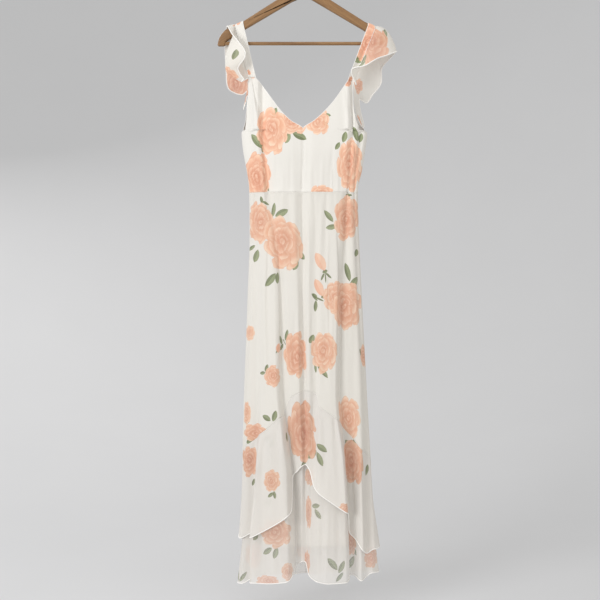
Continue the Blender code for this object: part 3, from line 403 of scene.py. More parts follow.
# The print is laid out in squares from the centre front and the hook, as seen from the front
SQUARE = 2.58
Rose = namedtuple("Rose", "piece x drop wide tall turn tone over")
ROSES = (
    Rose("bodice_front", -32, 177, 16, 25, 20, 0.45, 1),
    Rose("bodice_front", -51, 121, 3, 4, 20, 0.9, 1),
    Rose("bodice_front", 44, 129, 3.5, 4, 20, 0.9, 1),
    Rose("bodice_front", -11, 168, 17, 13, 80, 0.35, 0),
    Rose("bodice_front", 14, 167, 13, 15, 190, 0.25, 1),
    Rose("bodice_front", -46, 222, 14, 25, 140, 0.70, 1),
    Rose("bodice_front", 46, 211, 13, 28, 60, 0.45, 1),
    Rose("bodice_front", 18, 241, 13, 11, 10, 0.40, 1),
    Rose("skirt_front", -44, 268, 14, 22, 250, 0.40, 0),
    Rose("skirt_front", -21, 289, 21, 28, 15, 0.35, 1),
    Rose("skirt_front", 43, 265, 16, 23, 130, 0.50, 1),
    Rose("skirt_front", 42, 352, 18, 25, 95, 0.45, 1),
    Rose("skirt_front", 31, 343, 12, 17, 300, 0.25, 0),
    Rose("skirt_front", -7, 401, 14, 24, 210, 0.60, 1),
    Rose("skirt_front", 20, 398, 14, 21, 40, 0.35, 0),
    Rose("skirt_front", -31, 422, 9, 11, 320, 0.55, 1),
    Rose("skirt_front", -54, 379, 6, 8, 30, 0.15, 0),
    Rose("skirt_front", 60, 402, 6, 12, 70, 0.40, 1),
    Rose("skirt_front", -46, 479, 16, 10, 160, 0.60, 1),
    Rose("skirt_front", 44, 464, 14, 23, 280, 0.35, 1),
    Rose("skirt_front", -57, 459, 5, 12, 0, 0.35, 0),
    Rose("upper_flounce_front", -54, 507, 10, 16, 35, 0.80, 1),
    Rose("upper_flounce_front", -32, 527, 9, 11, 120, 0.45, 1),
    Rose("upper_flounce_front", -1, 478, 18, 32, 200, 0.80, 1),
    Rose("upper_flounce_front", 49, 508, 15, 23, 75, 0.75, 1),
    Rose("upper_flounce_front", 42, 556, 8, 7, 250, 0.45, 1),
    Rose("lower_flounce_front", -28, 579, 18, 15, 50, 0.60, 1),
    Rose("lower_flounce_front", 6, 523, 6, 9, 170, 0.55, 1),
    Rose("lower_flounce_front", 5, 558, 4, 17, 180, 0.90, 1),
    Rose("lower_flounce_front", 4, 608, 5, 12, 20, 0.70, 1),
    Rose("lower_flounce_front", 47, 588, 8, 14, 230, 0.60, 1),
    Rose("lower_flounce_front", 68, 604, 9, 11, 110, 0.60, 1),
    Rose("lower_flounce_front", -36, 627, 12, 6, 290, 0.65, 1),
    Rose("lower_flounce_front", -15, 618, 8, 9, 140, 0.35, 1),
    Rose("bodice_back", -30, 190, 16, 22, 40, 0.45, 1),
    Rose("bodice_back", 30, 222, 18, 22, 140, 0.55, 1),
    Rose("bodice_back", 46, 176, 10, 18, 240, 0.35, 1),
    Rose("skirt_back", 26, 280, 20, 27, 200, 0.40, 1),
    Rose("skirt_back", 44, 300, 14, 20, 80, 0.50, 0),
    Rose("skirt_back", -36, 330, 19, 25, 310, 0.50, 1),
    Rose("skirt_back", 10, 392, 16, 24, 20, 0.55, 1),
    Rose("skirt_back", -14, 404, 15, 20, 150, 0.35, 0),
    Rose("skirt_back", 44, 430, 12, 15, 260, 0.45, 1),
    Rose("skirt_back", -40, 462, 19, 25, 100, 0.40, 1),
    Rose("skirt_back", 14, 496, 19, 22, 0, 0.60, 1),
    Rose("upper_flounce_back", -20, 560, 16, 20, 70, 0.60, 1),
    Rose("upper_flounce_back", 40, 548, 17, 22, 180, 0.45, 1),
    Rose("lower_flounce_back", 0, 600, 14, 14, 200, 0.55, 1),
    Rose("lower_flounce_back", -48, 606, 13, 14, 20, 0.50, 1),
)
Leaf = namedtuple("Leaf", "piece x drop long wide turn tone over")
LEAVES = (
    Leaf("bodice_front", -29, 159, 6, 2.6, 70, 0.45, 1),
    Leaf("bodice_front", -24, 166, 5, 1.8, 140, 0.60, 0),
    Leaf("bodice_front", -16, 184, 6, 3.0, 70, 0.40, 1),
    Leaf("bodice_front", -4, 182, 8, 3.6, 155, 0.75, 1),
    Leaf("bodice_front", 23, 161, 4.5, 2.0, 175, 0.55, 1),
    Leaf("bodice_front", 22, 170, 5, 2.2, 110, 0.60, 0),
    Leaf("bodice_front", -47, 187, 9, 3.4, 125, 0.50, 1),
    Leaf("bodice_front", -40, 193, 6, 2.4, 80, 0.65, 0),
    Leaf("bodice_front", 41, 183, 6, 2.8, 75, 0.55, 1),
    Leaf("bodice_front", 34, 192, 4.5, 2.2, 60, 0.60, 0),
    Leaf("bodice_front", 52, 180, 8, 2.6, 105, 0.65, 1),
    Leaf("bodice_front", 57, 184, 5, 2.6, 75, 0.50, 0),
    Leaf("bodice_front", -37, 233, 5, 1.6, 120, 0.80, 1),
    Leaf("skirt_front", -42, 246, 4, 1.6, 95, 0.80, 1),
    Leaf("skirt_front", -38, 249, 4, 1.4, 150, 0.85, 0),
    Leaf("skirt_front", 45, 241, 4, 1.4, 175, 0.90, 1),
    Leaf("skirt_front", -30, 256, 8, 2.2, 72, 0.50, 1),
    Leaf("skirt_front", -22, 259, 8, 3.4, 25, 0.45, 0),
    Leaf("skirt_front", -47, 302, 7, 3.4, 70, 0.45, 1),
    Leaf("skirt_front", -52, 294, 5, 2.0, 30, 0.65, 0),
    Leaf("skirt_front", -2, 302, 5, 3.0, 140, 0.60, 1),
    Leaf("skirt_front", -8, 311, 6, 3.0, 65, 0.55, 0),
    Leaf("skirt_front", -33, 326, 9, 3.4, 48, 0.60, 1),
    Leaf("skirt_front", -26, 324, 6, 2.6, 80, 0.55, 0),
    Leaf("skirt_front", 25, 262, 8, 2.6, 130, 0.50, 1),
    Leaf("skirt_front", 28, 273, 6, 2.8, 10, 0.40, 0),
    Leaf("skirt_front", 52, 299, 4.5, 3.0, 60, 0.65, 1),
    Leaf("skirt_front", 44, 318, 10, 2.8, 105, 0.75, 1),
    Leaf("skirt_front", 51, 328, 7, 3.6, 45, 0.35, 0),
    Leaf("skirt_front", 12, 352, 6, 2.0, 85, 0.75, 1),
    Leaf("skirt_front", 11, 343, 5, 1.6, 130, 0.75, 0),
    Leaf("skirt_front", -17, 381, 6, 2.0, 72, 0.70, 1),
    Leaf("skirt_front", -23, 386, 5, 1.8, 110, 0.70, 0),
    Leaf("skirt_front", -22, 393, 4, 1.6, 60, 0.85, 0),
    Leaf("skirt_front", 8, 385, 5, 3.0, 60, 0.45, 1),
    Leaf("skirt_front", 19, 417, 9, 2.6, 128, 0.60, 1),
    Leaf("skirt_front", 12, 414, 5, 1.4, 95, 0.50, 0),
    Leaf("skirt_front", -37, 414, 4, 1.8, 70, 0.75, 1),
    Leaf("skirt_front", -41, 419, 3.5, 1.8, 10, 0.70, 0),
    Leaf("skirt_front", 57, 399, 5, 1.8, 110, 0.80, 1),
    Leaf("skirt_front", -37, 464, 5, 2.8, 150, 0.70, 1),
    Leaf("skirt_front", -29, 462, 6, 2.4, 70, 0.65, 0),
    Leaf("skirt_front", -54, 487, 4, 2.6, 40, 0.65, 1),
    Leaf("skirt_front", -57, 468, 3, 1.8, 0, 0.80, 0),
    Leaf("upper_flounce_front", -17, 483, 5, 2.0, 85, 0.70, 1),
    Leaf("upper_flounce_front", 8, 500, 7, 4.0, 30, 0.55, 1),
    Leaf("upper_flounce_front", 18, 494, 7, 3.0, 145, 0.55, 0),
    Leaf("upper_flounce_front", 16, 505, 8, 2.8, 115, 0.50, 1),
    Leaf("upper_flounce_front", 0, 510, 6, 2.4, 60, 0.75, 0),
    Leaf("upper_flounce_front", -33, 541, 4, 1.8, 40, 0.70, 1),
    Leaf("upper_flounce_front", -29, 541, 4, 1.6, 100, 0.70, 0),
    Leaf("upper_flounce_front", -50, 528, 4, 1.6, 75, 0.85, 1),
    Leaf("upper_flounce_front", 63, 516, 6, 2.2, 75, 0.65, 1),
    Leaf("upper_flounce_front", 44, 489, 4, 2.4, 120, 0.60, 1),
    Leaf("upper_flounce_front", 51, 489, 4, 2.2, 100, 0.65, 0),
    Leaf("lower_flounce_front", -36, 484, 5, 2.4, 30, 0.75, 1),
    Leaf("lower_flounce_front", -32, 490, 5, 2.4, 60, 0.75, 0),
    Leaf("lower_flounce_front", -36, 548, 5, 3.0, 20, 0.60, 1),
    Leaf("lower_flounce_front", 12, 552, 5, 2.6, 10, 0.70, 1),
    Leaf("lower_flounce_front", 14, 560, 6, 2.4, 125, 0.75, 0),
    Leaf("lower_flounce_front", -36, 597, 6, 2.8, 35, 0.70, 1),
    Leaf("lower_flounce_front", -28, 599, 6, 2.8, 75, 0.65, 0),
    Leaf("lower_flounce_front", -48, 583, 4, 2.6, 60, 0.75, 1),
    Leaf("lower_flounce_front", -65, 621, 6, 2.4, 110, 0.80, 1),
    Leaf("lower_flounce_front", -61, 623, 7, 2.0, 50, 0.80, 0),
    Leaf("lower_flounce_front", 29, 610, 8, 3.2, 130, 0.70, 1),
    Leaf("lower_flounce_front", 38, 613, 7, 2.6, 65, 0.75, 0),
    Leaf("lower_flounce_front", 36, 623, 6, 2.0, 50, 0.85, 1),
    Leaf("lower_flounce_front", 48, 608, 8, 3.0, 60, 0.75, 1),
    Leaf("lower_flounce_front", 51, 597, 5, 2.4, 130, 0.80, 0),
    Leaf("bodice_back", -20, 206, 7, 3.0, 130, 0.55, 1),
    Leaf("bodice_back", -40, 170, 7, 3.0, 60, 0.60, 1),
    Leaf("bodice_back", 14, 206, 8, 3.2, 120, 0.55, 1),
    Leaf("bodice_back", 44, 200, 7, 3.0, 70, 0.60, 0),
    Leaf("skirt_back", 12, 258, 8, 3.2, 110, 0.50, 1),
    Leaf("skirt_back", 22, 252, 7, 3.0, 60, 0.45, 0),
    Leaf("skirt_back", 18, 312, 8, 3.2, 60, 0.60, 1),
    Leaf("skirt_back", -20, 306, 8, 3.0, 40, 0.60, 1),
    Leaf("skirt_back", -52, 352, 8, 3.2, 70, 0.50, 1),
    Leaf("skirt_back", 24, 372, 8, 3.0, 45, 0.60, 1),
    Leaf("skirt_back", -4, 424, 8, 3.2, 110, 0.60, 1),
    Leaf("skirt_back", 44, 412, 6, 2.6, 100, 0.70, 1),
    Leaf("skirt_back", -22, 446, 8, 3.2, 140, 0.55, 1),
    Leaf("skirt_back", -56, 488, 8, 3.2, 60, 0.55, 1),
    Leaf("skirt_back", 30, 478, 8, 3.0, 30, 0.60, 1),
    Leaf("upper_flounce_back", -38, 546, 7, 3.0, 140, 0.60, 1),
    Leaf("upper_flounce_back", 22, 534, 7, 3.0, 40, 0.60, 1),
    Leaf("lower_flounce_back", 18, 592, 7, 3.0, 150, 0.65, 1),
    Leaf("lower_flounce_back", -32, 596, 7, 3.0, 40, 0.65, 1),
)
Bud = namedtuple("Bud", "piece x drop long wide turn tone over")
BUDS = (
    Bud("skirt_front", 16.8, 307.5, 10.6, 4.7, 119, 0.15, 1),
    Bud("skirt_front", 15.4, 333.5, 9.8, 4.2, 115, 0.35, 1),
    Bud("skirt_front", -25, 394, 5, 3.0, 80, 0.60, 1),
    Bud("skirt_back", -10, 350, 9, 4.0, 110, 0.40, 1),
)
SEPALS = (
    Leaf("skirt_front", 21.4, 317.5, 2.8, 2.0, 25, 0.80, 1),
    Leaf("skirt_front", 24.8, 321.5, 4.4, 1.1, 138, 0.95, 1),
    Leaf("skirt_front", 19.2, 322.5, 4.6, 1.1, 68, 0.95, 1),
    Leaf("skirt_front", 22.0, 324.0, 5.2, 0.7, 94, 0.95, 0),
    Leaf("skirt_front", 19.8, 342.6, 2.6, 1.8, 25, 0.80, 1),
    Leaf("skirt_front", 23.2, 341.6, 3.6, 1.1, 20, 0.95, 1),
    Leaf("skirt_front", 15.6, 345.0, 5.4, 0.9, 155, 0.95, 0),
    Leaf("skirt_front", 11.4, 341.8, 3.6, 1.6, 135, 0.80, 1),
    Leaf("skirt_front", 23.6, 345.6, 4.2, 0.7, 158, 0.95, 1),
    Leaf("skirt_front", -19, 388, 4, 0.6, 120, 0.95, 1),
    Leaf("skirt_front", -26, 396, 4, 0.9, 60, 0.95, 0),
)
# On straps and flutters: shares across, from seam to hem, and along, from front to back
StripMotif = namedtuple("StripMotif", "piece kind across along wide tall turn tone over")
STRIP_MOTIFS = (
    StripMotif("strap_left", "rose", 0.85, 0.03, 6, 8, 30, 0.95, 1),
    StripMotif("strap_left", "rose", 0.60, 0.40, 7, 7, 90, 0.80, 1),
    StripMotif("strap_right", "rose", 0.95, 0.20, 36, 54, 120, 0.75, 1),
    StripMotif("strap_right", "leaf", 0.75, 0.10, 22, 11, 160, 0.50, 1),
    StripMotif("strap_right", "rose", 0.30, 0.01, 8, 8, 60, 0.95, 1),
    StripMotif("flutter_left", "rose", 0.12, 0.34, 7, 7, 40, 0.80, 0),
    StripMotif("flutter_left", "rose", 0.46, 0.06, 22, 26, 30, 0.45, 1),
    StripMotif("flutter_left", "leaf", 0.86, 0.175, 18, 10, 100, 0.70, 1),
    StripMotif("flutter_left", "rose", 0.70, 0.70, 56, 60, 200, 0.80, 1),
    StripMotif("flutter_left", "rose", 0.60, 0.94, 26, 26, 10, 0.85, 1),
    StripMotif("flutter_right", "rose", 0.42, 0.215, 66, 46, 100, 0.80, 1),
    StripMotif("flutter_right", "leaf", 0.52, 0.28, 26, 10, 60, 0.55, 1),
    StripMotif("flutter_right", "leaf", 0.74, 0.12, 22, 9, 20, 0.45, 1),
    StripMotif("flutter_right", "leaf", 0.20, 0.115, 24, 11, 120, 0.50, 1),
    StripMotif("flutter_right", "rose", 0.40, 0.77, 18, 18, 60, 0.60, 1),
    StripMotif("flutter_right", "rose", 0.60, 0.97, 14, 12, 160, 0.70, 0),
)
FAR_AWAY = 9.0

# Mesh density
SKIRT_COLUMNS = {FRONT: 230, BACK: 150}
SKIRT_ROWS = 150
UPPER_ROWS = 70
LOWER_ROWS = 110
LINING_COLUMNS = {FRONT: 110, BACK: 80}
LINING_ROWS = 110
BODICE_COLUMNS = 96
BODICE_ROWS = 110
STRAP_COLUMNS = 12
STRAP_ROWS = 130
FLUTTER_COLUMNS = 36
FLUTTER_ROWS = 190
TURN_STEP = 0.004

# Camera and stage, in metres
CAMERA_PLACE = (-0.0093, -2.6, -0.8927)
VIEW_WIDTH = 1.548
SENSOR = 36.0
FLOOR_LEVEL = -1.70
FLOOR_RADIUS = 1.3
CORNER_RADIUS = 3.2
STAGE_SIDES = 96
STAGE_TOP = 3.2


# ---- curves and tables
def curve_through(knots, values, at):
    """Monotone cubic through each row of values at that row's knots, read at each place."""
    at = np.asarray(at, dtype=float)
    knots = np.atleast_2d(np.asarray(knots, dtype=float))
    values = np.atleast_2d(np.asarray(values, dtype=float))
    shape = (len(at), knots.shape[1])
    knots = np.broadcast_to(knots, shape)
    values = np.broadcast_to(values, shape)
    steps = np.diff(knots, axis=1)
    slopes = np.diff(values, axis=1) / steps
    rising = slopes[:, :-1] * slopes[:, 1:] > 0.0
    total = np.where(rising, slopes[:, :-1] + slopes[:, 1:], 1.0)
    tangents = np.zeros(shape)
    tangents[:, 1:-1] = np.where(rising, 2.0 * slopes[:, :-1] * slopes[:, 1:] / total, 0.0)
    at = np.clip(at, knots[:, 0], knots[:, -1])
    left = np.clip((knots <= at[:, None]).sum(axis=1) - 1, 0, shape[1] - 2)[:, None]

    def pick(table, shift=0):
        return np.take_along_axis(table, left + shift, axis=1)[:, 0]

    step = pick(steps)
    f = (at - pick(knots)) / step
    start = pick(values) * (1.0 + 2.0 * f) * (1.0 - f) ** 2 + step * pick(tangents) * f * (1.0 - f) ** 2
    end = pick(values, 1) * f * f * (3.0 - 2.0 * f) + step * pick(tangents, 1) * f * f * (f - 1.0)
    return start + end


def column(rows, name, at, key="drop"):
    """One column of a table, read between its rows."""
    return curve_through([getattr(row, key) for row in rows], [getattr(row, name) for row in rows], at)


def smooth_step(fraction):
    fraction = np.clip(fraction, 0.0, 1.0)
    return fraction * fraction * (3.0 - 2.0 * fraction)


def mix(start, end, fraction):
    return start + (end - start) * fraction


def signed_power(value, power):
    return np.sign(value) * np.abs(value) ** power


# ---- the form of the dress
def ring_at(drop):
    left = column(RINGS, "left", drop)
    right = column(RINGS, "right", drop)
    return 0.5 * (left + right), 0.5 * (right - left), column(RINGS, "depth", drop)


def turn_of(x, drop):
    centre, half_width, _ = ring_at(drop)
    across = np.clip((x - centre) / half_width, -1.0, 1.0)
    return 2.0 / math.pi * np.arcsin(signed_power(across, 0.5 * RING_POWER))


def ring_point(turn, drop, face, proud, shrink=0.0):
    """Points on the front or back of the oval, moved out along its normal by 'proud'."""
    centre, half_width, half_depth = ring_at(drop)
    half_width = half_width - SHRINK_ACROSS * shrink
    half_depth = half_depth - shrink
    angle = 0.5 * math.pi * turn
    across = signed_power(np.sin(angle), 2.0 / RING_POWER)
    deep = np.maximum(np.cos(angle), 0.0) ** (2.0 / RING_POWER)
    normal_x = signed_power(across, RING_POWER - 1.0) / half_width
    normal_y = deep ** (RING_POWER - 1.0) / half_depth
    length = np.hypot(normal_x, normal_y)
    x = centre + half_width * across + proud * normal_x / length
    y = face * (half_depth * deep + proud * normal_y / length)
    return np.stack([x, y, -drop], axis=-1)


def fold_lines(folds, drop):
    inner = folds[1:-1]
    turns = [-np.ones_like(drop)]
    turns += [turn_of(curve_through(STATIONS, fold.x, drop), drop) for fold in inner]
    turns.append(np.ones_like(drop))
    prouds = [curve_through(STATIONS, fold.proud, drop) for fold in folds]
    return np.stack(turns, axis=1), np.stack(prouds, axis=1)


def crease_height(piece, x, drop):
    """Ridges and troughs of one piece's listed creases."""
    height = np.zeros_like(x)
    for crease in CREASES:
        if crease.piece != piece:
            continue
        f = (drop - crease.drop_top) / (crease.drop_foot - crease.drop_top)
        fade = smooth_step(4.0 * f) * smooth_step(2.2 * (1.0 - f))
        sway = 1.6 * np.sin(0.021 * drop + crease.x_top)
        middle = mix(crease.x_top, crease.x_foot, f) + sway
        width = crease.width * (0.8 + 0.5 * np.clip(f, 0.0, 1.0))
        if crease.lean:
            steep = (x - middle) * crease.lean > 0.0
            width = np.where(steep, LAP_STEEPNESS, 1.5) * width
        height += crease.height * fade * np.exp(-((x - middle) / width) ** 2)
    return FLOUNCE_DEPTH * height if "flounce" in piece else height


def gather_height(x, below):
    """Fine gathers just under a seam."""
    waves = sum(size * np.sin(pitch * x + phase) for pitch, phase, size in GATHER_WAVES)
    return GATHER_HEIGHT * waves * np.exp(-np.maximum(below, 0.0) / GATHER_LENGTH)


def proud_at(piece, folds, turn, drop, lines, follow=1.0, calm=1.0):
    """How far the cloth stands out; calm is 0 at a seam, where creases have died away."""
    turns, prouds = lines
    proud = follow * curve_through(turns, prouds, turn)
    centre, half_width, _ = ring_at(drop)
    x = centre + half_width * signed_power(np.sin(0.5 * math.pi * turn), 2.0 / RING_POWER)
    edge = smooth_step((1.0 - np.abs(turn)) / 0.12)
    return proud + edge * calm * crease_height(piece, x, drop), x, edge


def fold_edge(folds, name, place):
    return curve_through(np.arange(len(folds)), [getattr(fold, name) for fold in folds], place)


def outer_cloth(piece, face, place, drop, top, foot):
    """Skirt and upper flounce."""
    folds = FOLDS[face]
    lines = fold_lines(folds, drop)
    turn = curve_through(np.arange(len(folds)), lines[0], place)
    calm = smooth_step((drop - top) / SEAM_CALM)
    if piece.startswith("skirt"):
        calm = calm * smooth_step((foot - drop) / SEAM_CALM)
    proud, x, edge = proud_at(piece, folds, turn, drop, lines, calm=calm)
    proud += calm * edge * gather_height(x, drop - top)
    return ring_point(turn, drop, face, proud + SHELL_LIFT)


def under_cloth(piece, face, place, drop, top, foot):
    """The lower tier hugs the upper one at the seam and hangs free inside it below."""
    folds = FOLDS[face]
    lines = fold_lines(folds, drop)
    turn = curve_through(np.arange(len(folds)), lines[0], place)
    sides = []
    for near in (np.maximum(turn - TURN_STEP, -1.0), np.minimum(turn + TURN_STEP, 1.0)):
        sides.append(ring_point(near, drop, face, curve_through(*lines, near)))
    along = sides[1] - sides[0]
    along /= np.maximum(np.linalg.norm(along[:, :2], axis=1, keepdims=True), 1e-9)
    calm = smooth_step((drop - top) / SEAM_CALM)
    proud, x, edge = proud_at(piece, folds, turn, drop, lines, calm=calm)
    inward = np.stack([-along[:, 1], along[:, 0], np.zeros_like(turn)], axis=-1) * CLEARANCE * face
    hugging = ring_point(turn, drop, face, proud + SHELL_LIFT) - inward
    hanging = ring_point(turn, drop, face, proud + SHELL_LIFT - LOWER_INSET)
    return mix(hugging, hanging, smooth_step((drop - top) / LOWER_SPREAD)[:, None])


def slip_cloth(piece, face, place, drop, top, foot):
    folds = FOLDS[face]
    lines = fold_lines(folds, drop)
    turn = curve_through(np.arange(len(folds)), lines[0], place)
    follow = column(LINING, "follow", drop)
    proud = proud_at(piece, folds, turn, drop, lines, follow)[0] - column(LINING, "inset", drop)
    return ring_point(turn, drop, face, proud + SHELL_LIFT, column(LINING, "shrink", drop))


def armhole_turn(edges, side, drop):
    name = "armhole_left" if side < 0 else "armhole_right"
    last = edges[-1].drop
    edge = turn_of(column(edges, name, np.minimum(drop, last)), drop)
    met = mix(edge, float(side), smooth_step((drop - last) / (UNDERARM - last)))
    return np.where(drop >= UNDERARM, float(side), met)


# ---- cloth meshes
def only(piece):
    """Select one object and make it active."""
    bpy.ops.object.select_all(action="DESELECT")
    piece.select_set(True)
    bpy.context.view_layer.objects.active = piece


def new_grid(name, columns, rows):
    """A grid with the row and column number of each of its corners."""
    bpy.ops.object.select_all(action="DESELECT")
    bpy.ops.mesh.primitive_grid_add(x_subdivisions=columns, y_subdivisions=rows, size=2.0)
    piece = bpy.context.object
    piece.name = name + "_cloth"
    piece.data.name = name + "_cloth"
    co = np.zeros(3 * len(piece.data.vertices))
    piece.data.vertices.foreach_get("co", co)
    co = co.reshape(-1, 3)
    col = np.rint(0.5 * (co[:, 0] + 1.0) * columns).astype(int)
    row = np.rint(0.5 * (1.0 - co[:, 1]) * rows).astype(int)
    return piece, row, col


def set_points(piece, points):
    piece.data.vertices.foreach_set("co", (points * MM).astype(np.float32).ravel())
    piece.data.update()


def face_out(piece, outward):
    """Turn a sheet so that its faces look outwards."""
    normals = np.zeros(3 * len(piece.data.polygons))
    areas = np.zeros(len(piece.data.polygons))
    piece.data.polygons.foreach_get("normal", normals)
    piece.data.polygons.foreach_get("area", areas)
    facing = (normals.reshape(-1, 3) * areas[:, None]).sum(axis=0)
    if float(np.dot(facing, outward)) < 0.0:
        only(piece)
        bpy.ops.object.mode_set(mode="EDIT")
        bpy.ops.mesh.select_all(action="SELECT")
        bpy.ops.mesh.flip_normals()
        bpy.ops.object.mode_set(mode="OBJECT")


def thicken(piece, outer, inner, centred=False):
    """Give a sheet its thickness, the inner wall taking the second material."""
    piece.data.materials.append(outer)
    piece.data.materials.append(inner)
    only(piece)
    wall = piece.modifiers.new("wall", "SOLIDIFY")
    wall.thickness = SHELL * MM
    wall.offset = 0.0 if centred else 1.0
    wall.material_offset = 1
    wall.material_offset_rim = 0
    bpy.ops.object.modifier_apply(modifier="wall")
    bpy.ops.object.shade_smooth()


def seen_from_front(points, mirrored=False):
    """Where points show on the hanger's plane, in squares, from the camera's place."""
    eye = np.array(CAMERA_PLACE) / MM
    away = points[..., 1] if mirrored else -points[..., 1]
    scale = -eye[1] / (-eye[1] - away)
    x = eye[0] + (points[..., 0] - eye[0]) * scale
    drop = -(eye[2] + (points[..., 2] - eye[2]) * scale)
    return x / SQUARE, drop / SQUARE


def lay_motifs(piece, slot_name, motifs, u, v):
    """Give each face the nearest motif's own coordinates, 1 at the motif's edge.

    u and v hold, for each motif, every corner's place on the cloth from its centre.
    """
    mesh = piece.data
    loops = len(mesh.loops)
    corner = np.zeros(loops, dtype=int)
    mesh.loops.foreach_get("vertex_index", corner)
    uv = np.full((loops, 2), FAR_AWAY)
    tone = np.zeros(loops)
    if motifs:
        face_of = np.repeat(np.arange(len(mesh.polygons)), [len(p.vertices) for p in mesh.polygons])
        first = np.array([p.loop_start for p in mesh.polygons])
        local = []
        reach = []
        for motif, across, down in zip(motifs, u, v):
            turn = math.radians(motif.turn)
            long = motif.wide if isinstance(motif, Rose) else motif.long
            short = motif.tall if isinstance(motif, Rose) else motif.wide
            if isinstance(motif, Rose):
                a = across / (long * SQUARE)
                b = down / (short * SQUARE)
                spun = np.stack([a * math.cos(turn) + b * math.sin(turn),
                                 b * math.cos(turn) - a * math.sin(turn)], axis=1)
            else:
                a = across * math.cos(turn) + down * math.sin(turn)
                b = down * math.cos(turn) - across * math.sin(turn)
                spun = np.stack([a / (long * SQUARE), b / (short * SQUARE)], axis=1)
            local.append(spun[corner])
            at_corner = np.hypot(*spun[corner].T)
            reach.append(np.add.reduceat(at_corner, first) / 4.0)
        nearest = np.argmin(np.stack(reach), axis=0)[face_of]
        near = np.min(np.stack(reach), axis=0)[face_of] < 2.5
        for number, motif in enumerate(motifs):
            mine = near & (nearest == number)
            uv[mine] = local[number][mine]
            tone[mine] = motif.tone
    layer = mesh.uv_layers.new(name=slot_name)
    layer.data.foreach_set("uv", uv.astype(np.float32).ravel())
    mood = mesh.attributes.new(slot_name + "_tone", "FLOAT", "CORNER")
    mood.data.foreach_set("value", tone.astype(np.float32))


PRINT_LAYERS = ("rose_over", "rose_under", "leaf_over", "leaf_under")


def print_cloth(piece, name, row, col, points, width=None):
    """Lay roses and leaves on a grid of cloth. width is the cloth's own width to each corner."""
    grid = points
    back = name.endswith("_back")
    seen_x, seen_drop = seen_from_front(grid, mirrored=back)
    if width is None:
        steps = np.hypot(np.diff(grid[:, :, 0], axis=1), np.diff(grid[:, :, 1], axis=1))
        width = np.concatenate([np.zeros((grid.shape[0], 1)), np.cumsum(steps, axis=1)], axis=1)
        fanned = True
    else:
        fanned = False
    leaves = LEAVES + SEPALS
    choice = {
        "rose_over": [m for m in ROSES if m.over],
        "rose_under": [m for m in ROSES if not m.over],
        "leaf_over": [m for m in leaves if m.over],
        "leaf_under": [m for m in leaves if not m.over],
        "bud": list(BUDS),
    }
    for slot_name in PRINT_LAYERS + ("bud",):
        motifs = [m for m in choice[slot_name] if m.piece == name]
        across = []
        down = []
        for motif in motifs:
            if fanned:
                far = np.hypot(seen_x - motif.x, seen_drop - motif.drop)
                r, c = np.unravel_index(np.argmin(far), far.shape)
                shift = SQUARE * (seen_x[r, c] - motif.x)
                run = width - width[:, c:c + 1] + shift
                fall = -grid[:, :, 2] + grid[r, c, 2] + SQUARE * (seen_drop[r, c] - motif.drop)
            else:
                run = SQUARE * (width - motif.x)
                fall = SQUARE * (seen_drop - motif.drop)
            across.append(run[row, col])
            down.append(-fall[row, col])
        lay_motifs(piece, slot_name, motifs, across, down)


def print_strip(piece, name, row, col, grid):
    """Lay motifs on a strap or flutter, measured along and across its own cloth."""
    rows, columns = (count - 1 for count in grid.shape[:2])
    steps = np.linalg.norm(np.diff(grid, axis=1), axis=2)
    depth = np.concatenate([np.zeros((rows + 1, 1)), np.cumsum(steps, axis=1)], axis=1)
    length = np.linalg.norm(np.diff(grid, axis=0), axis=2).mean(axis=1)
    length = np.concatenate([[0.0], np.cumsum(length)])[:, None]
    for layer in PRINT_LAYERS + ("bud",):
        kind, _, level = layer.partition("_")
        motifs = []
        u = []
        v = []
        for m in STRIP_MOTIFS:
            if m.piece != name or m.kind != kind or bool(m.over) != (level == "over"):
                continue
            r = int(m.along * rows)
            c = int(m.across * columns)
            shape = Rose if kind == "rose" else Leaf
            motifs.append(shape(name, 0, 0, m.wide / SQUARE, m.tall / SQUARE, m.turn, m.tone, m.over))
            u.append((depth - depth[:, c:c + 1])[row, col])
            v.append(((length[r] - length) + 0.0 * depth)[row, col])
        lay_motifs(piece, layer, motifs, u, v)


def skirt_cloth(name, face, columns, rows, cloth, edges):
    """One panel of a skirt layer, through cut edges given as (share of the rows, drops)."""
    folds = FOLDS[face]
    place = np.linspace(0.0, len(folds) - 1.0, columns + 1)
    levels = np.stack([edge(place) for share, edge in edges])
    shares = [share for share, edge in edges]
    down = np.linspace(0.0, 1.0, rows + 1)
    grid = np.zeros((rows + 1, columns + 1, 3))
    for r, share in enumerate(down):
        drop = np.array([np.interp(share, shares, levels[:, c]) for c in range(columns + 1)])
        grid[r] = cloth(name, face, place, drop, levels[0], levels[-1])
    piece, row, col = new_grid(name, columns, rows)
    set_points(piece, grid[row, col])
    return piece, row, col, grid


def tube(name, points, radius, sides=3):
    """A thin closed tube along a line of points: a rolled hem, piping or seam."""
    curve = bpy.data.curves.new(name, "CURVE")
    curve.dimensions = "3D"
    curve.bevel_depth = radius * MM
    curve.bevel_resolution = sides
    curve.use_fill_caps = True
    spline = curve.splines.new("POLY")
    spline.points.add(len(points) - 1)
    for knot, point in zip(spline.points, points):
        knot.co = (*(point * MM), 1.0)
    piece = bpy.data.objects.new(name, curve)
    bpy.context.scene.collection.objects.link(piece)
    only(piece)
    bpy.ops.object.convert(target="MESH")
    piece = bpy.context.object
    bpy.ops.object.shade_smooth()
    return piece


# ---- shader helpers
def feed(tree, socket, value):
    if isinstance(value, bpy.types.NodeSocket):
        tree.links.new(value, socket)
    else:
        socket.default_value = value


def calc(tree, operation, *values, clamp=False):
    node = tree.nodes.new("ShaderNodeMath")
    node.operation = operation
    node.use_clamp = clamp
    for socket, value in zip(node.inputs, values):
        feed(tree, socket, value)
    return node.outputs[0]


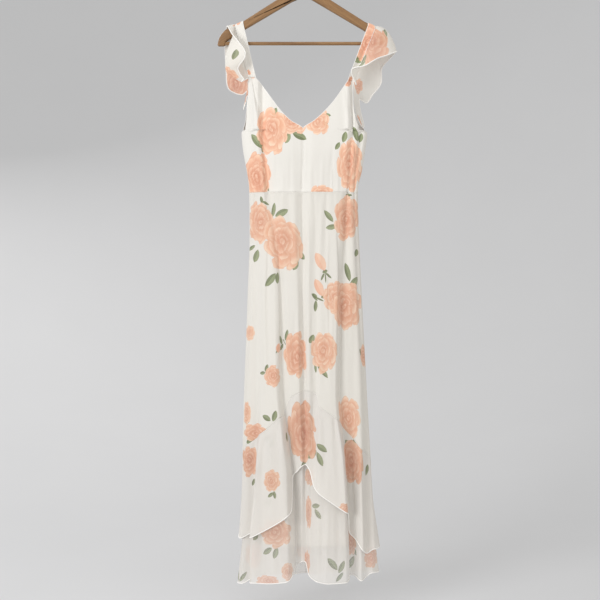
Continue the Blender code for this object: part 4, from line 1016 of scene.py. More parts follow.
def shift(tree, operation, first, second):
    node = tree.nodes.new("ShaderNodeVectorMath")
    node.operation = operation
    feed(tree, node.inputs[0], first)
    if operation == "SCALE":
        feed(tree, node.inputs["Scale"], second)
    else:
        feed(tree, node.inputs[1], second)
    return node.outputs["Vector"]


def soft(tree, value, low, high):
    """0 below low, 1 above high, smooth between."""
    node = tree.nodes.new("ShaderNodeMapRange")
    node.interpolation_type = "SMOOTHSTEP"
    feed(tree, node.inputs["Value"], value)
    feed(tree, node.inputs["From Min"], low)
    feed(tree, node.inputs["From Max"], high)
    return node.outputs["Result"]


def tint(tree, share, first, second, way="MIX"):
    node = tree.nodes.new("ShaderNodeMix")
    node.data_type = "RGBA"
    node.blend_type = way
    feed(tree, node.inputs["Factor"], share)
    feed(tree, node.inputs["A"], first)
    feed(tree, node.inputs["B"], second)
    return node.outputs["Result"]


def noise(tree, vector, scale, detail=2.0, rough=0.5):
    node = tree.nodes.new("ShaderNodeTexNoise")
    feed(tree, node.inputs["Vector"], vector)
    node.inputs["Scale"].default_value = scale
    node.inputs["Detail"].default_value = detail
    node.inputs["Roughness"].default_value = rough
    return node


def parts_of(tree, vector):
    node = tree.nodes.new("ShaderNodeSeparateXYZ")
    feed(tree, node.inputs[0], vector)
    return node.outputs[0], node.outputs[1], node.outputs[2]


def vector_of(tree, x, y, z):
    node = tree.nodes.new("ShaderNodeCombineXYZ")
    for socket, value in zip(node.inputs, (x, y, z)):
        feed(tree, socket, value)
    return node.outputs[0]


def new_group(name, inputs, outputs):
    """A shader group with named sockets, given as (name, kind, value)."""
    tree = bpy.data.node_groups.new(name, "ShaderNodeTree")
    for title, kind, value in inputs:
        socket = tree.interface.new_socket(name=title, in_out="INPUT", socket_type=kind)
        if value is not None:
            socket.default_value = value
    for title, kind in outputs:
        tree.interface.new_socket(name=title, in_out="OUTPUT", socket_type=kind)
    return tree, tree.nodes.new("NodeGroupInput").outputs, tree.nodes.new("NodeGroupOutput").inputs


def use_group(tree, group, **values):
    """Place a group; a value's name is its socket's, with _ for a space."""
    node = tree.nodes.new("ShaderNodeGroup")
    node.node_tree = group
    for title, value in values.items():
        feed(tree, node.inputs[title.replace("_", " ")], value)
    return node.outputs


FLOAT = "NodeSocketFloat"
COLOUR = "NodeSocketColor"
VECTOR = "NodeSocketVector"


def petal_ring():
    """One ring of overlapping rounded petals, laid over what is behind it."""
    tree, given, out = new_group("petal_ring", (
        ("Place", VECTOR, None), ("Behind", COLOUR, None), ("Cover", FLOAT, 0.0), ("Reach", FLOAT, 1.0),
        ("Petals", FLOAT, 6.0), ("Turn", FLOAT, 0.0), ("Deep", COLOUR, None), ("Pale", COLOUR, None),
        ("Line", COLOUR, None), ("Shade", FLOAT, 0.8),
    ), (("Colour", COLOUR), ("Cover", FLOAT)))
    x, y, _ = parts_of(tree, given["Place"])
    reach = calc(tree, "SQRT", calc(tree, "ADD", calc(tree, "MULTIPLY", x, x), calc(tree, "MULTIPLY", y, y)))
    angle = calc(tree, "MULTIPLY", calc(tree, "ARCTAN2", y, x), 1.0 / (2.0 * math.pi))
    swirl = calc(tree, "ADD", calc(tree, "MULTIPLY", angle, given["Petals"]),
                 calc(tree, "MULTIPLY_ADD", reach, 1.1, given["Turn"]))
    part = calc(tree, "SUBTRACT", calc(tree, "FRACT", swirl), 0.5)
    away = calc(tree, "ABSOLUTE", calc(tree, "MULTIPLY", part, 2.0))
    notch = calc(tree, "POWER", away, 2.6)
    # every petal has its own size and depth of colour
    number = calc(tree, "WRAP", calc(tree, "FLOOR", swirl), given["Petals"], 0.0)
    own = calc(tree, "SINE", calc(tree, "MULTIPLY_ADD", number, 2.4, calc(tree, "MULTIPLY", given["Turn"], 9.0)))
    length = calc(tree, "MULTIPLY_ADD", own, 0.05, 0.98)
    edge = calc(tree, "MULTIPLY", calc(tree, "MULTIPLY", given["Reach"], length),
                calc(tree, "MULTIPLY_ADD", notch, -0.20, 1.0))
    rim = calc(tree, "SUBTRACT", edge, reach)
    cover = soft(tree, rim, 0.0, 0.03)
    # each ring shades the one that it lies on
    shadow = calc(tree, "MULTIPLY", calc(tree, "SUBTRACT", 1.0, soft(tree, rim, -0.13, -0.01)), -1.0)
    shadow = calc(tree, "MULTIPLY", calc(tree, "ADD", shadow, 1.0), given["Shade"])
    behind = tint(tree, shadow, given["Behind"], given["Deep"])
    # pale at the lip, deeper towards the heart and on the side that tucks under the next petal
    colour = tint(tree, soft(tree, rim, 0.02, 0.24), given["Pale"], given["Deep"])
    tucked = calc(tree, "MULTIPLY", soft(tree, part, 0.05, 0.5), 0.6)
    tucked = calc(tree, "MAXIMUM", tucked, calc(tree, "MULTIPLY_ADD", own, 0.28, 0.12))
    colour = tint(tree, tucked, colour, given["Deep"])
    line = calc(tree, "MAXIMUM", soft(tree, away, 0.88, 0.99),
                calc(tree, "SUBTRACT", 1.0, soft(tree, rim, 0.015, 0.05)))
    colour = tint(tree, calc(tree, "MULTIPLY", line, 0.6), colour, given["Line"])
    feed(tree, out["Colour"], tint(tree, cover, behind, colour))
    feed(tree, out["Cover"], calc(tree, "MAXIMUM", given["Cover"], cover))
    return tree


PetalRing = namedtuple("PetalRing", "x y reach petals turn depth")
ROSE_RINGS = (
    PetalRing(0.00, 0.00, 1.00, 7.0, 0.10, 0.00),
    PetalRing(0.07, -0.09, 0.84, 5.0, 0.55, 0.05),
    PetalRing(-0.09, 0.05, 0.68, 5.0, 0.20, 0.20),
    PetalRing(0.08, 0.12, 0.53, 4.0, 0.70, 0.30),
    PetalRing(-0.05, 0.05, 0.40, 3.0, 0.35, 0.50),
    PetalRing(0.07, 0.12, 0.27, 3.0, 0.05, 0.70),
    PetalRing(0.01, 0.07, 0.15, 2.0, 0.60, 1.00),
)
ROSE_PALE = (0.98, 0.80, 0.63, 1.0)
ROSE_LIGHT = (0.92, 0.59, 0.42, 1.0)
ROSE_MID = (0.82, 0.42, 0.27, 1.0)
ROSE_DEEP = (0.60, 0.21, 0.12, 1.0)
LEAF_PALE = (0.36, 0.41, 0.23, 1.0)
LEAF_DEEP = (0.10, 0.13, 0.045, 1.0)
BUD_PALE = (0.93, 0.62, 0.46, 1.0)
BUD_DEEP = (0.82, 0.36, 0.22, 1.0)


def rose_print(ring):
    """A full rose in its own coordinates, its outer petals at 1."""
    tree, given, out = new_group("rose_print", (
        ("Place", VECTOR, None), ("Tone", FLOAT, 0.5),
    ), (("Colour", COLOUR), ("Cover", FLOAT)))
    seeded = shift(tree, "ADD", given["Place"], vector_of(tree, calc(tree, "MULTIPLY", given["Tone"], 37.0),
                                                           0.0, 0.0))
    wander = noise(tree, seeded, 2.4, 2.0)
    pushed = shift(tree, "SCALE", shift(tree, "SUBTRACT", wander.outputs["Color"], (0.5, 0.5, 0.5)), 0.30)
    place = shift(tree, "ADD", given["Place"], pushed)
    colour = ROSE_LIGHT
    cover = 0.0
    light = tint(tree, given["Tone"], ROSE_PALE, ROSE_LIGHT)
    deep = tint(tree, calc(tree, "MULTIPLY_ADD", given["Tone"], 0.8, 0.25, clamp=True), ROSE_LIGHT, ROSE_MID)
    core = tint(tree, calc(tree, "MULTIPLY_ADD", given["Tone"], 0.8, 0.2, clamp=True), ROSE_MID, ROSE_DEEP)
    for row in ROSE_RINGS:
        moved = shift(tree, "SUBTRACT", place, (row.x, row.y, 0.0))
        made = use_group(tree, ring, Place=moved, Behind=colour, Cover=cover, Reach=row.reach,
                         Petals=row.petals, Turn=row.turn, Deep=tint(tree, row.depth, deep, core),
                         Pale=tint(tree, 0.45 * row.depth, light, deep), Line=core,
                         Shade=0.85 if row.reach < 1.0 else 0.0)
        colour = made["Colour"]
        cover = made["Cover"]
    x, y, _ = parts_of(tree, place)
    reach = calc(tree, "MAXIMUM", calc(tree, "SQRT", calc(tree, "ADD", calc(tree, "MULTIPLY", x, x),
                                                         calc(tree, "MULTIPLY", y, y))), 0.05)
    streaks = noise(tree, vector_of(tree, calc(tree, "DIVIDE", x, reach), calc(tree, "DIVIDE", y, reach),
                                    calc(tree, "MULTIPLY", reach, 0.8)), 5.5, 3.0, 0.6)
    wash = noise(tree, seeded, 1.4, 3.0)
    colour = tint(tree, calc(tree, "MULTIPLY", soft(tree, streaks.outputs[0], 0.45, 0.75), 0.35), colour, light)
    colour = tint(tree, calc(tree, "MULTIPLY", soft(tree, wash.outputs[0], 0.5, 0.72), 0.35), colour, core)
    feed(tree, out["Colour"], colour)
    feed(tree, out["Cover"], cover)
    return tree


def leaf_print():
    """A pointed leaf with a midrib, from -1 to 1 along x and half as wide at its middle."""
    tree, given, out = new_group("leaf_print", (
        ("Place", VECTOR, None), ("Tone", FLOAT, 0.5), ("Pale", COLOUR, LEAF_PALE), ("Deep", COLOUR, LEAF_DEEP),
    ), (("Colour", COLOUR), ("Cover", FLOAT)))
    wander = noise(tree, given["Place"], 1.7, 1.0)
    pushed = shift(tree, "SCALE", shift(tree, "SUBTRACT", wander.outputs["Color"], (0.5, 0.5, 0.5)), 0.22)
    x, y, _ = parts_of(tree, shift(tree, "ADD", given["Place"], pushed))
    taper = calc(tree, "SUBTRACT", 1.0, calc(tree, "MULTIPLY", x, x))
    width = calc(tree, "POWER", calc(tree, "MAXIMUM", taper, 0.0), 0.85)
    away = calc(tree, "ABSOLUTE", y)
    rim = calc(tree, "SUBTRACT", width, away)
    inside = soft(tree, rim, 0.0, 0.10)
    cover = calc(tree, "MULTIPLY", inside, soft(tree, taper, 0.0, 0.05))
    veins = calc(tree, "FRACT", calc(tree, "MULTIPLY_ADD", x, 3.5, calc(tree, "MULTIPLY", away, 1.3)))
    rib = calc(tree, "SUBTRACT", 1.0, soft(tree, away, 0.04, 0.14))
    dark = calc(tree, "MULTIPLY_ADD", soft(tree, y, -0.15, 0.2), 0.36, calc(tree, "MULTIPLY", veins, 0.16))
    dark = calc(tree, "MULTIPLY_ADD", given["Tone"], 0.75, calc(tree, "SUBTRACT", dark, 0.22), clamp=True)
    colour = tint(tree, dark, given["Pale"], given["Deep"])
    colour = tint(tree, calc(tree, "MULTIPLY", rib, 0.45), colour, given["Pale"])
    outline = calc(tree, "SUBTRACT", 1.0, soft(tree, rim, 0.05, 0.22))
    colour = tint(tree, calc(tree, "MULTIPLY", outline, 0.35), colour, given["Deep"])
    feed(tree, out["Colour"], colour)
    feed(tree, out["Cover"], cover)
    return tree


def chiffon_weave():
    """Fine crepe bumps and soft slubs of the cloth, on Object coordinates."""
    tree, given, out = new_group("chiffon_weave", (
        ("Place", VECTOR, None),
    ), (("Height", FLOAT), ("Mottle", FLOAT)))
    grain = noise(tree, given["Place"], 950.0, 2.0, 0.6)
    drawn = shift(tree, "MULTIPLY", given["Place"], (1.0, 1.0, 0.18))
    slub = noise(tree, drawn, 260.0, 2.0, 0.55)
    crumple = noise(tree, drawn, 42.0, 3.0, 0.5)
    height = calc(tree, "MULTIPLY_ADD", slub.outputs[0], 0.5, calc(tree, "MULTIPLY", grain.outputs[0], 0.35))
    feed(tree, out["Height"], calc(tree, "MULTIPLY_ADD", crumple.outputs[0], 2.4, height))
    feed(tree, out["Mottle"], slub.outputs[0])
    return tree


def wood_grain():
    """Straight grain with darker lines and pores, drawn out along local x."""
    tree, given, out = new_group("wood_grain", (
        ("Place", VECTOR, None), ("Light", COLOUR, (0.34, 0.19, 0.08, 1.0)),
        ("Dark", COLOUR, (0.15, 0.07, 0.025, 1.0)),
    ), (("Colour", COLOUR), ("Height", FLOAT), ("Roughness", FLOAT)))
    long = shift(tree, "MULTIPLY", given["Place"], (0.08, 1.0, 1.0))
    bands = noise(tree, long, 150.0, 3.0, 0.6)
    lines = noise(tree, long, 700.0, 2.0, 0.5)
    pores = noise(tree, shift(tree, "MULTIPLY", given["Place"], (0.12, 1.0, 1.0)), 1600.0, 1.0)
    share = calc(tree, "MULTIPLY_ADD", bands.outputs[0], 0.9, calc(tree, "MULTIPLY", lines.outputs[0], 0.45))
    share = soft(tree, share, 0.35, 1.1)
    colour = tint(tree, share, given["Light"], given["Dark"])
    pore = soft(tree, pores.outputs[0], 0.62, 0.75)
    feed(tree, out["Colour"], tint(tree, calc(tree, "MULTIPLY", pore, 0.45), colour, given["Dark"]))
    feed(tree, out["Height"], calc(tree, "MULTIPLY_ADD", pore, -0.6, lines.outputs[0]))
    feed(tree, out["Roughness"], calc(tree, "MULTIPLY_ADD", share, 0.15, 0.42))
    return tree


PETAL_RING = petal_ring()
ROSE_PRINT = rose_print(PETAL_RING)
LEAF_PRINT = leaf_print()
CHIFFON_WEAVE = chiffon_weave()
WOOD_GRAIN = wood_grain()


# ---- materials
def new_material(name):
    material = bpy.data.materials.new(name)
    material.use_nodes = True
    tree = material.node_tree
    shader = tree.nodes["Principled BSDF"]
    place = tree.nodes.new("ShaderNodeTexCoord").outputs["Object"]
    return material, tree, shader, place


def bump(tree, shader, height, strength, distance):
    node = tree.nodes.new("ShaderNodeBump")
    node.inputs["Strength"].default_value = strength
    node.inputs["Distance"].default_value = distance
    feed(tree, node.inputs["Height"], height)
    feed(tree, shader.inputs["Normal"], node.outputs[0])


def cloth_material(name, colour, alpha, printed=True, sheen=0.25):
    material, tree, shader, place = new_material(name)
    weave = use_group(tree, CHIFFON_WEAVE, Place=place)
    shade = tint(tree, calc(tree, "MULTIPLY", weave["Mottle"], 0.10), colour, (0.72, 0.68, 0.60, 1.0))
    if printed:
        for layer in ("leaf_under", "leaf_over", "bud", "rose_under", "rose_over"):
            uv = tree.nodes.new("ShaderNodeUVMap")
            uv.uv_map = layer
            mood = tree.nodes.new("ShaderNodeAttribute")
            mood.attribute_name = layer + "_tone"
            if layer.startswith("rose"):
                made = use_group(tree, ROSE_PRINT, Place=uv.outputs[0], Tone=mood.outputs["Fac"])
            elif layer == "bud":
                made = use_group(tree, LEAF_PRINT, Place=uv.outputs[0], Tone=mood.outputs["Fac"],
                                 Pale=BUD_PALE, Deep=BUD_DEEP)
            else:
                made = use_group(tree, LEAF_PRINT, Place=uv.outputs[0], Tone=mood.outputs["Fac"])
            shade = tint(tree, calc(tree, "MULTIPLY", made["Cover"], 0.94), shade, made["Colour"])
    feed(tree, shader.inputs["Base Color"], shade)
    shader.inputs["Roughness"].default_value = 0.78
    shader.inputs["Specular IOR Level"].default_value = 0.25
    shader.inputs["Sheen Weight"].default_value = sheen
    shader.inputs["Sheen Roughness"].default_value = 0.45
    shader.inputs["Alpha"].default_value = alpha
    bump(tree, shader, weave["Height"], 0.35, 0.0006)
    return material


def wood_material(name, slanted):
    material, tree, shader, place = new_material(name)
    if slanted:
        x, y, z = parts_of(tree, place)
        out = calc(tree, "ABSOLUTE", x)
        slope = math.radians(32.5)
        along = calc(tree, "MULTIPLY_ADD", out, math.cos(slope), calc(tree, "MULTIPLY", z, -math.sin(slope)))
        up = calc(tree, "MULTIPLY_ADD", out, math.sin(slope), calc(tree, "MULTIPLY", z, math.cos(slope)))
        place = vector_of(tree, along, y, up)
    grain = use_group(tree, WOOD_GRAIN, Place=place)
    feed(tree, shader.inputs["Base Color"], grain["Colour"])
    feed(tree, shader.inputs["Roughness"], grain["Roughness"])
    shader.inputs["Coat Weight"].default_value = 0.15
    shader.inputs["Coat Roughness"].default_value = 0.35
    bump(tree, shader, grain["Height"], 0.25, 0.0004)
    return material


def steel_material():
    material, tree, shader, place = new_material("hook_steel")
    smears = noise(tree, place, 120.0, 3.0)
    feed(tree, shader.inputs["Base Color"], tint(tree, smears.outputs[0], (0.70, 0.70, 0.71, 1.0),
                                                 (0.52, 0.52, 0.54, 1.0)))
    feed(tree, shader.inputs["Roughness"], calc(tree, "MULTIPLY_ADD", smears.outputs[0], 0.18, 0.16))
    shader.inputs["Metallic"].default_value = 1.0
    return material


IVORY = (0.84, 0.82, 0.775, 1.0)
LINED_IVORY = (0.80, 0.785, 0.75, 1.0)
SLIP_WHITE = (0.93, 0.92, 0.90, 1.0)
HEM_WHITE = (0.92, 0.91, 0.89, 1.0)
SHEER_IVORY = (0.87, 0.845, 0.81, 1.0)
CHIFFON_LINED = cloth_material("chiffon_lined", LINED_IVORY, 1.0)
CHIFFON_OVER = cloth_material("chiffon_over", IVORY, 0.82)
CHIFFON_UPPER = cloth_material("chiffon_upper", SHEER_IVORY, 0.72)
CHIFFON_LOWER = cloth_material("chiffon_lower", SHEER_IVORY, 0.55)
CHIFFON_VEIL = cloth_material("chiffon_veil", IVORY, 0.06, printed=False)
SLIP = cloth_material("slip", SLIP_WHITE, 1.0, printed=False)
ROLLED_HEM = cloth_material("rolled_hem", HEM_WHITE, 1.0, printed=False)
ARM_WOOD = wood_material("arm_wood", slanted=True)
BAR_WOOD = wood_material("bar_wood", slanted=False)
STEEL = steel_material()


def finish_cloth(piece, node):
    """Ride of a piece of cloth: it hangs from the root, and the part that it replaces is hidden."""
    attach(piece, "root")
    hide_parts(node)


def add_trim(name, points, radius, material=None, sides=3):
    piece = tube(name, points, radius, sides)
    piece.data.materials.clear()
    piece.data.materials.append(material or ROLLED_HEM)
    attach(piece, "root")
    return piece


def build_skirt():
    for face, side, turned in ((FRONT, "front", -1.0), (BACK, "back", 1.0)):
        folds = FOLDS[face]

        def edge(name):
            return lambda place: fold_edge(folds, name, place)

        def waist(place):
            return np.full_like(place, WAIST)

        def slip_hem(place):
            return np.full_like(place, LINING_HEM)

        split = UPPER_ROWS / (UPPER_ROWS + LOWER_ROWS)
        layers = (
            ("skirt_", SKIRT_COLUMNS[face], SKIRT_ROWS, outer_cloth,
             ((0.0, waist), (1.0, edge("arch"))), CHIFFON_OVER, None),
            ("upper_flounce_", SKIRT_COLUMNS[face], UPPER_ROWS, outer_cloth,
             ((0.0, edge("arch")), (1.0, edge("upper_hem"))), CHIFFON_UPPER, HEM_RADIUS),
            ("lower_flounce_", SKIRT_COLUMNS[face], LOWER_ROWS, under_cloth,
             ((0.0, edge("arch")), (split, edge("upper_hem")), (1.0, edge("lower_hem"))),
             CHIFFON_LOWER, HEM_RADIUS),
            ("lining_", LINING_COLUMNS[face], LINING_ROWS, slip_cloth,
             ((0.0, waist), (1.0, slip_hem)), SLIP, PIPING_RADIUS),
        )
        for prefix, columns, rows, cloth, edges, material, hem_radius in layers:
            name = prefix + side
            piece, row, col, grid = skirt_cloth(name, face, columns, rows, cloth, edges)
            if material is not SLIP:
                print_cloth(piece, name, row, col, grid)
            face_out(piece, (0.0, float(face), 0.0))
            thicken(piece, material, SLIP if material is SLIP else CHIFFON_VEIL)
            if hem_radius:
                add_trim(name + "_hem", grid[-1], hem_radius)
            if prefix == "skirt_":
                add_trim(name + "_waist_seam", grid[0], SEAM_RADIUS, CHIFFON_SEAM, 2)
                add_trim(name + "_arch_seam", grid[-1], SEAM_RADIUS, CHIFFON_SEAM, 2)
            finish_cloth(piece, name)


def half_bodice(name, face, side, joint, neck_point, edges):
    folds = FOLDS[face]
    neck_name = "neck_left" if side < 0 else "neck_right"
    grid = np.zeros((BODICE_ROWS + 1, BODICE_COLUMNS + 1, 3))
    across = np.linspace(0.0, 1.0, BODICE_COLUMNS + 1)
    for r, down in enumerate(np.linspace(0.0, 1.0, BODICE_ROWS + 1)):
        if down < 0.5:
            level = mix(joint, neck_point, 2.0 * down)
            neck = column(edges, neck_name, np.array([level]))
        else:
            level = mix(neck_point, WAIST, 2.0 * down - 1.0)
            neck = np.array([NECK_POINT_X])
        drop = np.full_like(across, level)
        lines = fold_lines(folds, drop)
        turn = mix(armhole_turn(edges, side, drop), turn_of(neck, np.array([level]))[0], across)
        proud, x, edge = proud_at(name, folds, turn, drop, lines, calm=smooth_step((WAIST - drop) / SEAM_CALM))
        grid[r] = ring_point(turn, drop, face, proud + SHELL_LIFT)
    piece, row, col = new_grid(name + ("_left" if side < 0 else "_right"), BODICE_COLUMNS, BODICE_ROWS)
    set_points(piece, grid[row, col])
    print_cloth(piece, name, row, col, grid, width=seen_from_front(grid, mirrored=face == BACK)[0])
    return piece, grid


def build_bodice():
    for face, name, edges, neck_point in ((FRONT, "bodice_front", FRONT_EDGES, NECK_POINT_FRONT),
                                          (BACK, "bodice_back", BACK_EDGES, NECK_POINT_BACK)):
        left, left_grid = half_bodice(name, face, -1, STRAP_JOINT_LEFT, neck_point, edges)
        right, right_grid = half_bodice(name, face, 1, STRAP_JOINT_RIGHT, neck_point, edges)
        face_out(left, (0.0, float(face), 0.0))
        face_out(right, (0.0, float(face), 0.0))
        only(left)
        right.select_set(True)
        bpy.ops.object.join()
        piece = bpy.context.object
        piece.name = name + "_cloth"
        piece.data.name = name + "_cloth"
        bpy.ops.object.mode_set(mode="EDIT")
        bpy.ops.mesh.select_all(action="SELECT")
        bpy.ops.mesh.remove_doubles(threshold=0.00002)
        bpy.ops.object.mode_set(mode="OBJECT")
        thicken(piece, CHIFFON_LINED, CHIFFON_LINED)
        half = BODICE_ROWS // 2
        under = int(BODICE_ROWS * 0.5 * (1.0 + (UNDERARM - neck_point) / (WAIST - neck_point))) + 1
        neckline = np.concatenate([left_grid[:half + 1, -1], right_grid[half - 1::-1, -1]])
        trims = [
            add_trim(name + "_neckline", neckline, PIPING_RADIUS),
            add_trim(name + "_armhole_left", left_grid[:under, 0], PIPING_RADIUS),
            add_trim(name + "_armhole_right", right_grid[:under, 0], PIPING_RADIUS),
        ]
        finish_cloth(piece, name)


def arm_top_at(out):
    return np.interp(out, [point.out for point in ARM_TOP], [point.top for point in ARM_TOP])


def body_at(face, x, drop):
    """One point of the bodice at x across the body."""
    drop = np.atleast_1d(np.asarray(drop, dtype=float))
    x = np.broadcast_to(np.asarray(x, dtype=float), drop.shape)
    lines = fold_lines(FOLDS[face], drop)
    turn = turn_of(x, drop)
    return ring_point(turn, drop, face, curve_through(*lines, turn) + SHELL_LIFT)


def strap_line(strap, across, alongs, lift):
    """One line along a strap: across 0 inner to 1 outer, along -1 front to 1 back."""
    stand = 0.5 * ARM_THICK + STRAP_STANDOFF + lift
    out_top = mix(strap.inner_top, strap.outer_top, across)
    top = arm_top_at(out_top) - STRAP_STANDOFF - lift
    out_joint = mix(strap.inner_joint, strap.outer_joint, across)
    feet = {face: body_at(face, strap.side * out_joint, strap.joint)[0] for face in (FRONT, BACK)}
    points = []
    for along in alongs:
        reach = abs(along)
        face = BACK if along > 0.0 else FRONT
        if reach < STRAP_BEND:
            angle = 0.5 * math.pi * reach / STRAP_BEND
            y = face * stand * math.sin(angle) ** (2.0 / STRAP_CORNER)
            drop = top + stand * (1.0 - math.cos(angle) ** (2.0 / STRAP_CORNER))
            points.append((strap.side * out_top, y, -drop))
            continue
        rise = (1.0 - reach) / (1.0 - STRAP_BEND)
        x = strap.side * mix(out_joint, out_top, rise)
        y = mix(feet[face][1] + face * lift, face * stand, rise)
        points.append((x, y, -mix(strap.joint, top + stand, rise)))
    return np.array(points)


def build_straps():
    for name, strap in (("strap_left", STRAP_LEFT), ("strap_right", STRAP_RIGHT)):
        steps = np.linspace(-1.0, 1.0, STRAP_ROWS + 1)
        alongs = steps * np.abs(steps)
        shares = np.linspace(0.0, 1.0, STRAP_COLUMNS + 1)
        # a strap is a flat tube of cloth, a little fuller at its middle
        lines = [strap_line(strap, share, alongs, SHELL_LIFT + 0.35 * math.sin(math.pi * share))
                 for share in shares]
        grid = np.stack(lines, axis=1)
        piece, row, col = new_grid(name, STRAP_COLUMNS, STRAP_ROWS)
        set_points(piece, grid[row, col])
        print_strip(piece, name, row, col, grid)
        face_out(piece, (0.0, 0.0, 1.0))
        thicken(piece, CHIFFON_LINED, CHIFFON_LINED)
        trims = [
            add_trim(name + "_inner_edge", strap_line(strap, 0.0, alongs, SHELL_LIFT), PIPING_RADIUS),
            add_trim(name + "_outer_edge", strap_line(strap, 1.0, alongs, SHELL_LIFT), PIPING_RADIUS),
        ]
        finish_cloth(piece, name)


def spline_through(points, places):
    """Catmull-Rom curve through rows of points, read at places counted in rows."""
    last = len(points) - 1
    left = np.minimum(places.astype(int), last - 1)
    f = (places - left)[:, None]
    before = points[np.maximum(left - 1, 0)]
    start = points[left]
    end = points[left + 1]
    after = points[np.minimum(left + 2, last)]
    linear = end - before
    square = 2.0 * before - 5.0 * start + 4.0 * end - after
    cube = 3.0 * start - before - 3.0 * end + after
    return start + 0.5 * (linear * f + square * f * f + cube * f ** 3)


def flutter_seam(strap, alongs):
    points = []
    for along in alongs:
        if abs(along) <= 1.0:
            point = strap_line(strap, 1.0, [along], SHELL_LIFT + 0.3)[0]
            points.append(point + np.array([strap.side * FLUTTER_GAP, 0.0, 0.0]))
            continue
        drop = np.array([strap.joint + ARMHOLE_STEP * (abs(along) - 1.0)])
        lines = fold_lines(BACK_FOLDS, drop)
        turn = armhole_turn(BACK_EDGES, strap.side, drop)
        point = ring_point(turn, drop, BACK, curve_through(*lines, turn))[0]
        points.append(point + np.array([strap.side * ARMHOLE_GAP, 0.0, 0.0]))
    return np.array(points)


Ripple = namedtuple("Ripple", "place spread height")
FLUTTER_RIPPLES = (
    Ripple(0.06, 0.030, 2.0),
    Ripple(0.15, 0.035, -2.2),
    Ripple(0.24, 0.030, 1.8),
    Ripple(0.36, 0.030, -1.5),
    Ripple(0.52, 0.035, 2.2),
    Ripple(0.63, 0.030, -2.2),
    Ripple(0.74, 0.035, 2.0),
    Ripple(0.86, 0.030, -1.8),
    Ripple(0.94, 0.025, 1.4),
)


def build_flutter(name, strap, stations):
    runs = len(stations) - 1
    places = np.linspace(0.0, runs, FLUTTER_ROWS + 1)
    middles = np.array([(strap.side * row.mid_out, -row.mid_front, -row.mid_drop) for row in stations])
    hems = np.array([(strap.side * row.hem_out, -row.hem_front, -row.hem_drop) for row in stations])
    alongs = curve_through(np.arange(runs + 1), [row.along for row in stations], places)
    seam = flutter_seam(strap, alongs)
    middle = spline_through(middles, places)
    hem = spline_through(hems, places)
    across = np.linspace(0.0, 1.0, FLUTTER_COLUMNS + 1)[None, :, None]
    grid = (seam[:, None] * (1.0 - across) ** 2 + middle[:, None] * 2.0 * across * (1.0 - across)
            + hem[:, None] * across ** 2)
    normal = np.cross(np.gradient(grid, axis=0), np.gradient(grid, axis=1))
    normal /= np.maximum(np.linalg.norm(normal, axis=2, keepdims=True), 1e-6)
    share = (places / runs)[:, None]
    wave = sum(row.height * np.exp(-((share - row.place) / row.spread) ** 2) for row in FLUTTER_RIPPLES)
    grid = grid + normal * (wave * (across[:, :, 0] * (1.4 - 0.4 * across[:, :, 0])))[:, :, None]
    piece, row, col = new_grid(name, FLUTTER_COLUMNS, FLUTTER_ROWS)
    set_points(piece, grid[row, col])
    print_strip(piece, name, row, col, grid)
    face_out(piece, (float(strap.side), 0.0, 0.3))
    thicken(piece, CHIFFON_OVER, CHIFFON_VEIL, centred=True)
    outline = np.concatenate([grid[0, 1:], grid[1:, -1], grid[-1, -2:0:-1]])
    trims = [add_trim(name + "_hem", outline, HEM_RADIUS)]
    finish_cloth(piece, name)


def build_side_seams():
    """A fine felled seam down each side."""
    for label, side in (("left", -1.0), ("right", 1.0)):
        hem = FRONT_FOLDS[0].arch if side < 0.0 else FRONT_FOLDS[-1].arch
        drop = np.linspace(UNDERARM + 2.0, hem - 1.0, 160)
        turn = np.full_like(drop, side)
        add_trim("side_seam_" + label, ring_point(turn, drop, BACK, np.full_like(drop, SHELL_LIFT + 0.3)),
                 SEAM_RADIUS, CHIFFON_SEAM, 2)


def hanger_outline():
    half = [(point.out, -point.top) for point in ARM_TOP]
    half.append((ARM_END_OUT, -ARM_END_DROP))
    half.append((LUG_OUT, -ARM_END_DROP))
    half.append((LUG_OUT - LUG_STEP, -BAR_DROP))
    half.extend((point.out, -point.top) for point in ARM_UNDER)
    return half + [(-x, z) for x, z in reversed(half) if x > 0.0]


def round_rod(name, radius, length, centre, sides, along_x):
    bpy.ops.object.select_all(action="DESELECT")
    turned = (0.0, 0.5 * math.pi, 0.0) if along_x else (0.0, 0.0, 0.0)
    bpy.ops.mesh.primitive_cylinder_add(vertices=sides, radius=radius * MM, depth=length * MM,
                                        location=tuple(c * MM for c in centre), rotation=turned)
    rod = bpy.context.object
    rod.name = name
    bpy.ops.object.transform_apply(location=True, rotation=True, scale=True)
    return rod


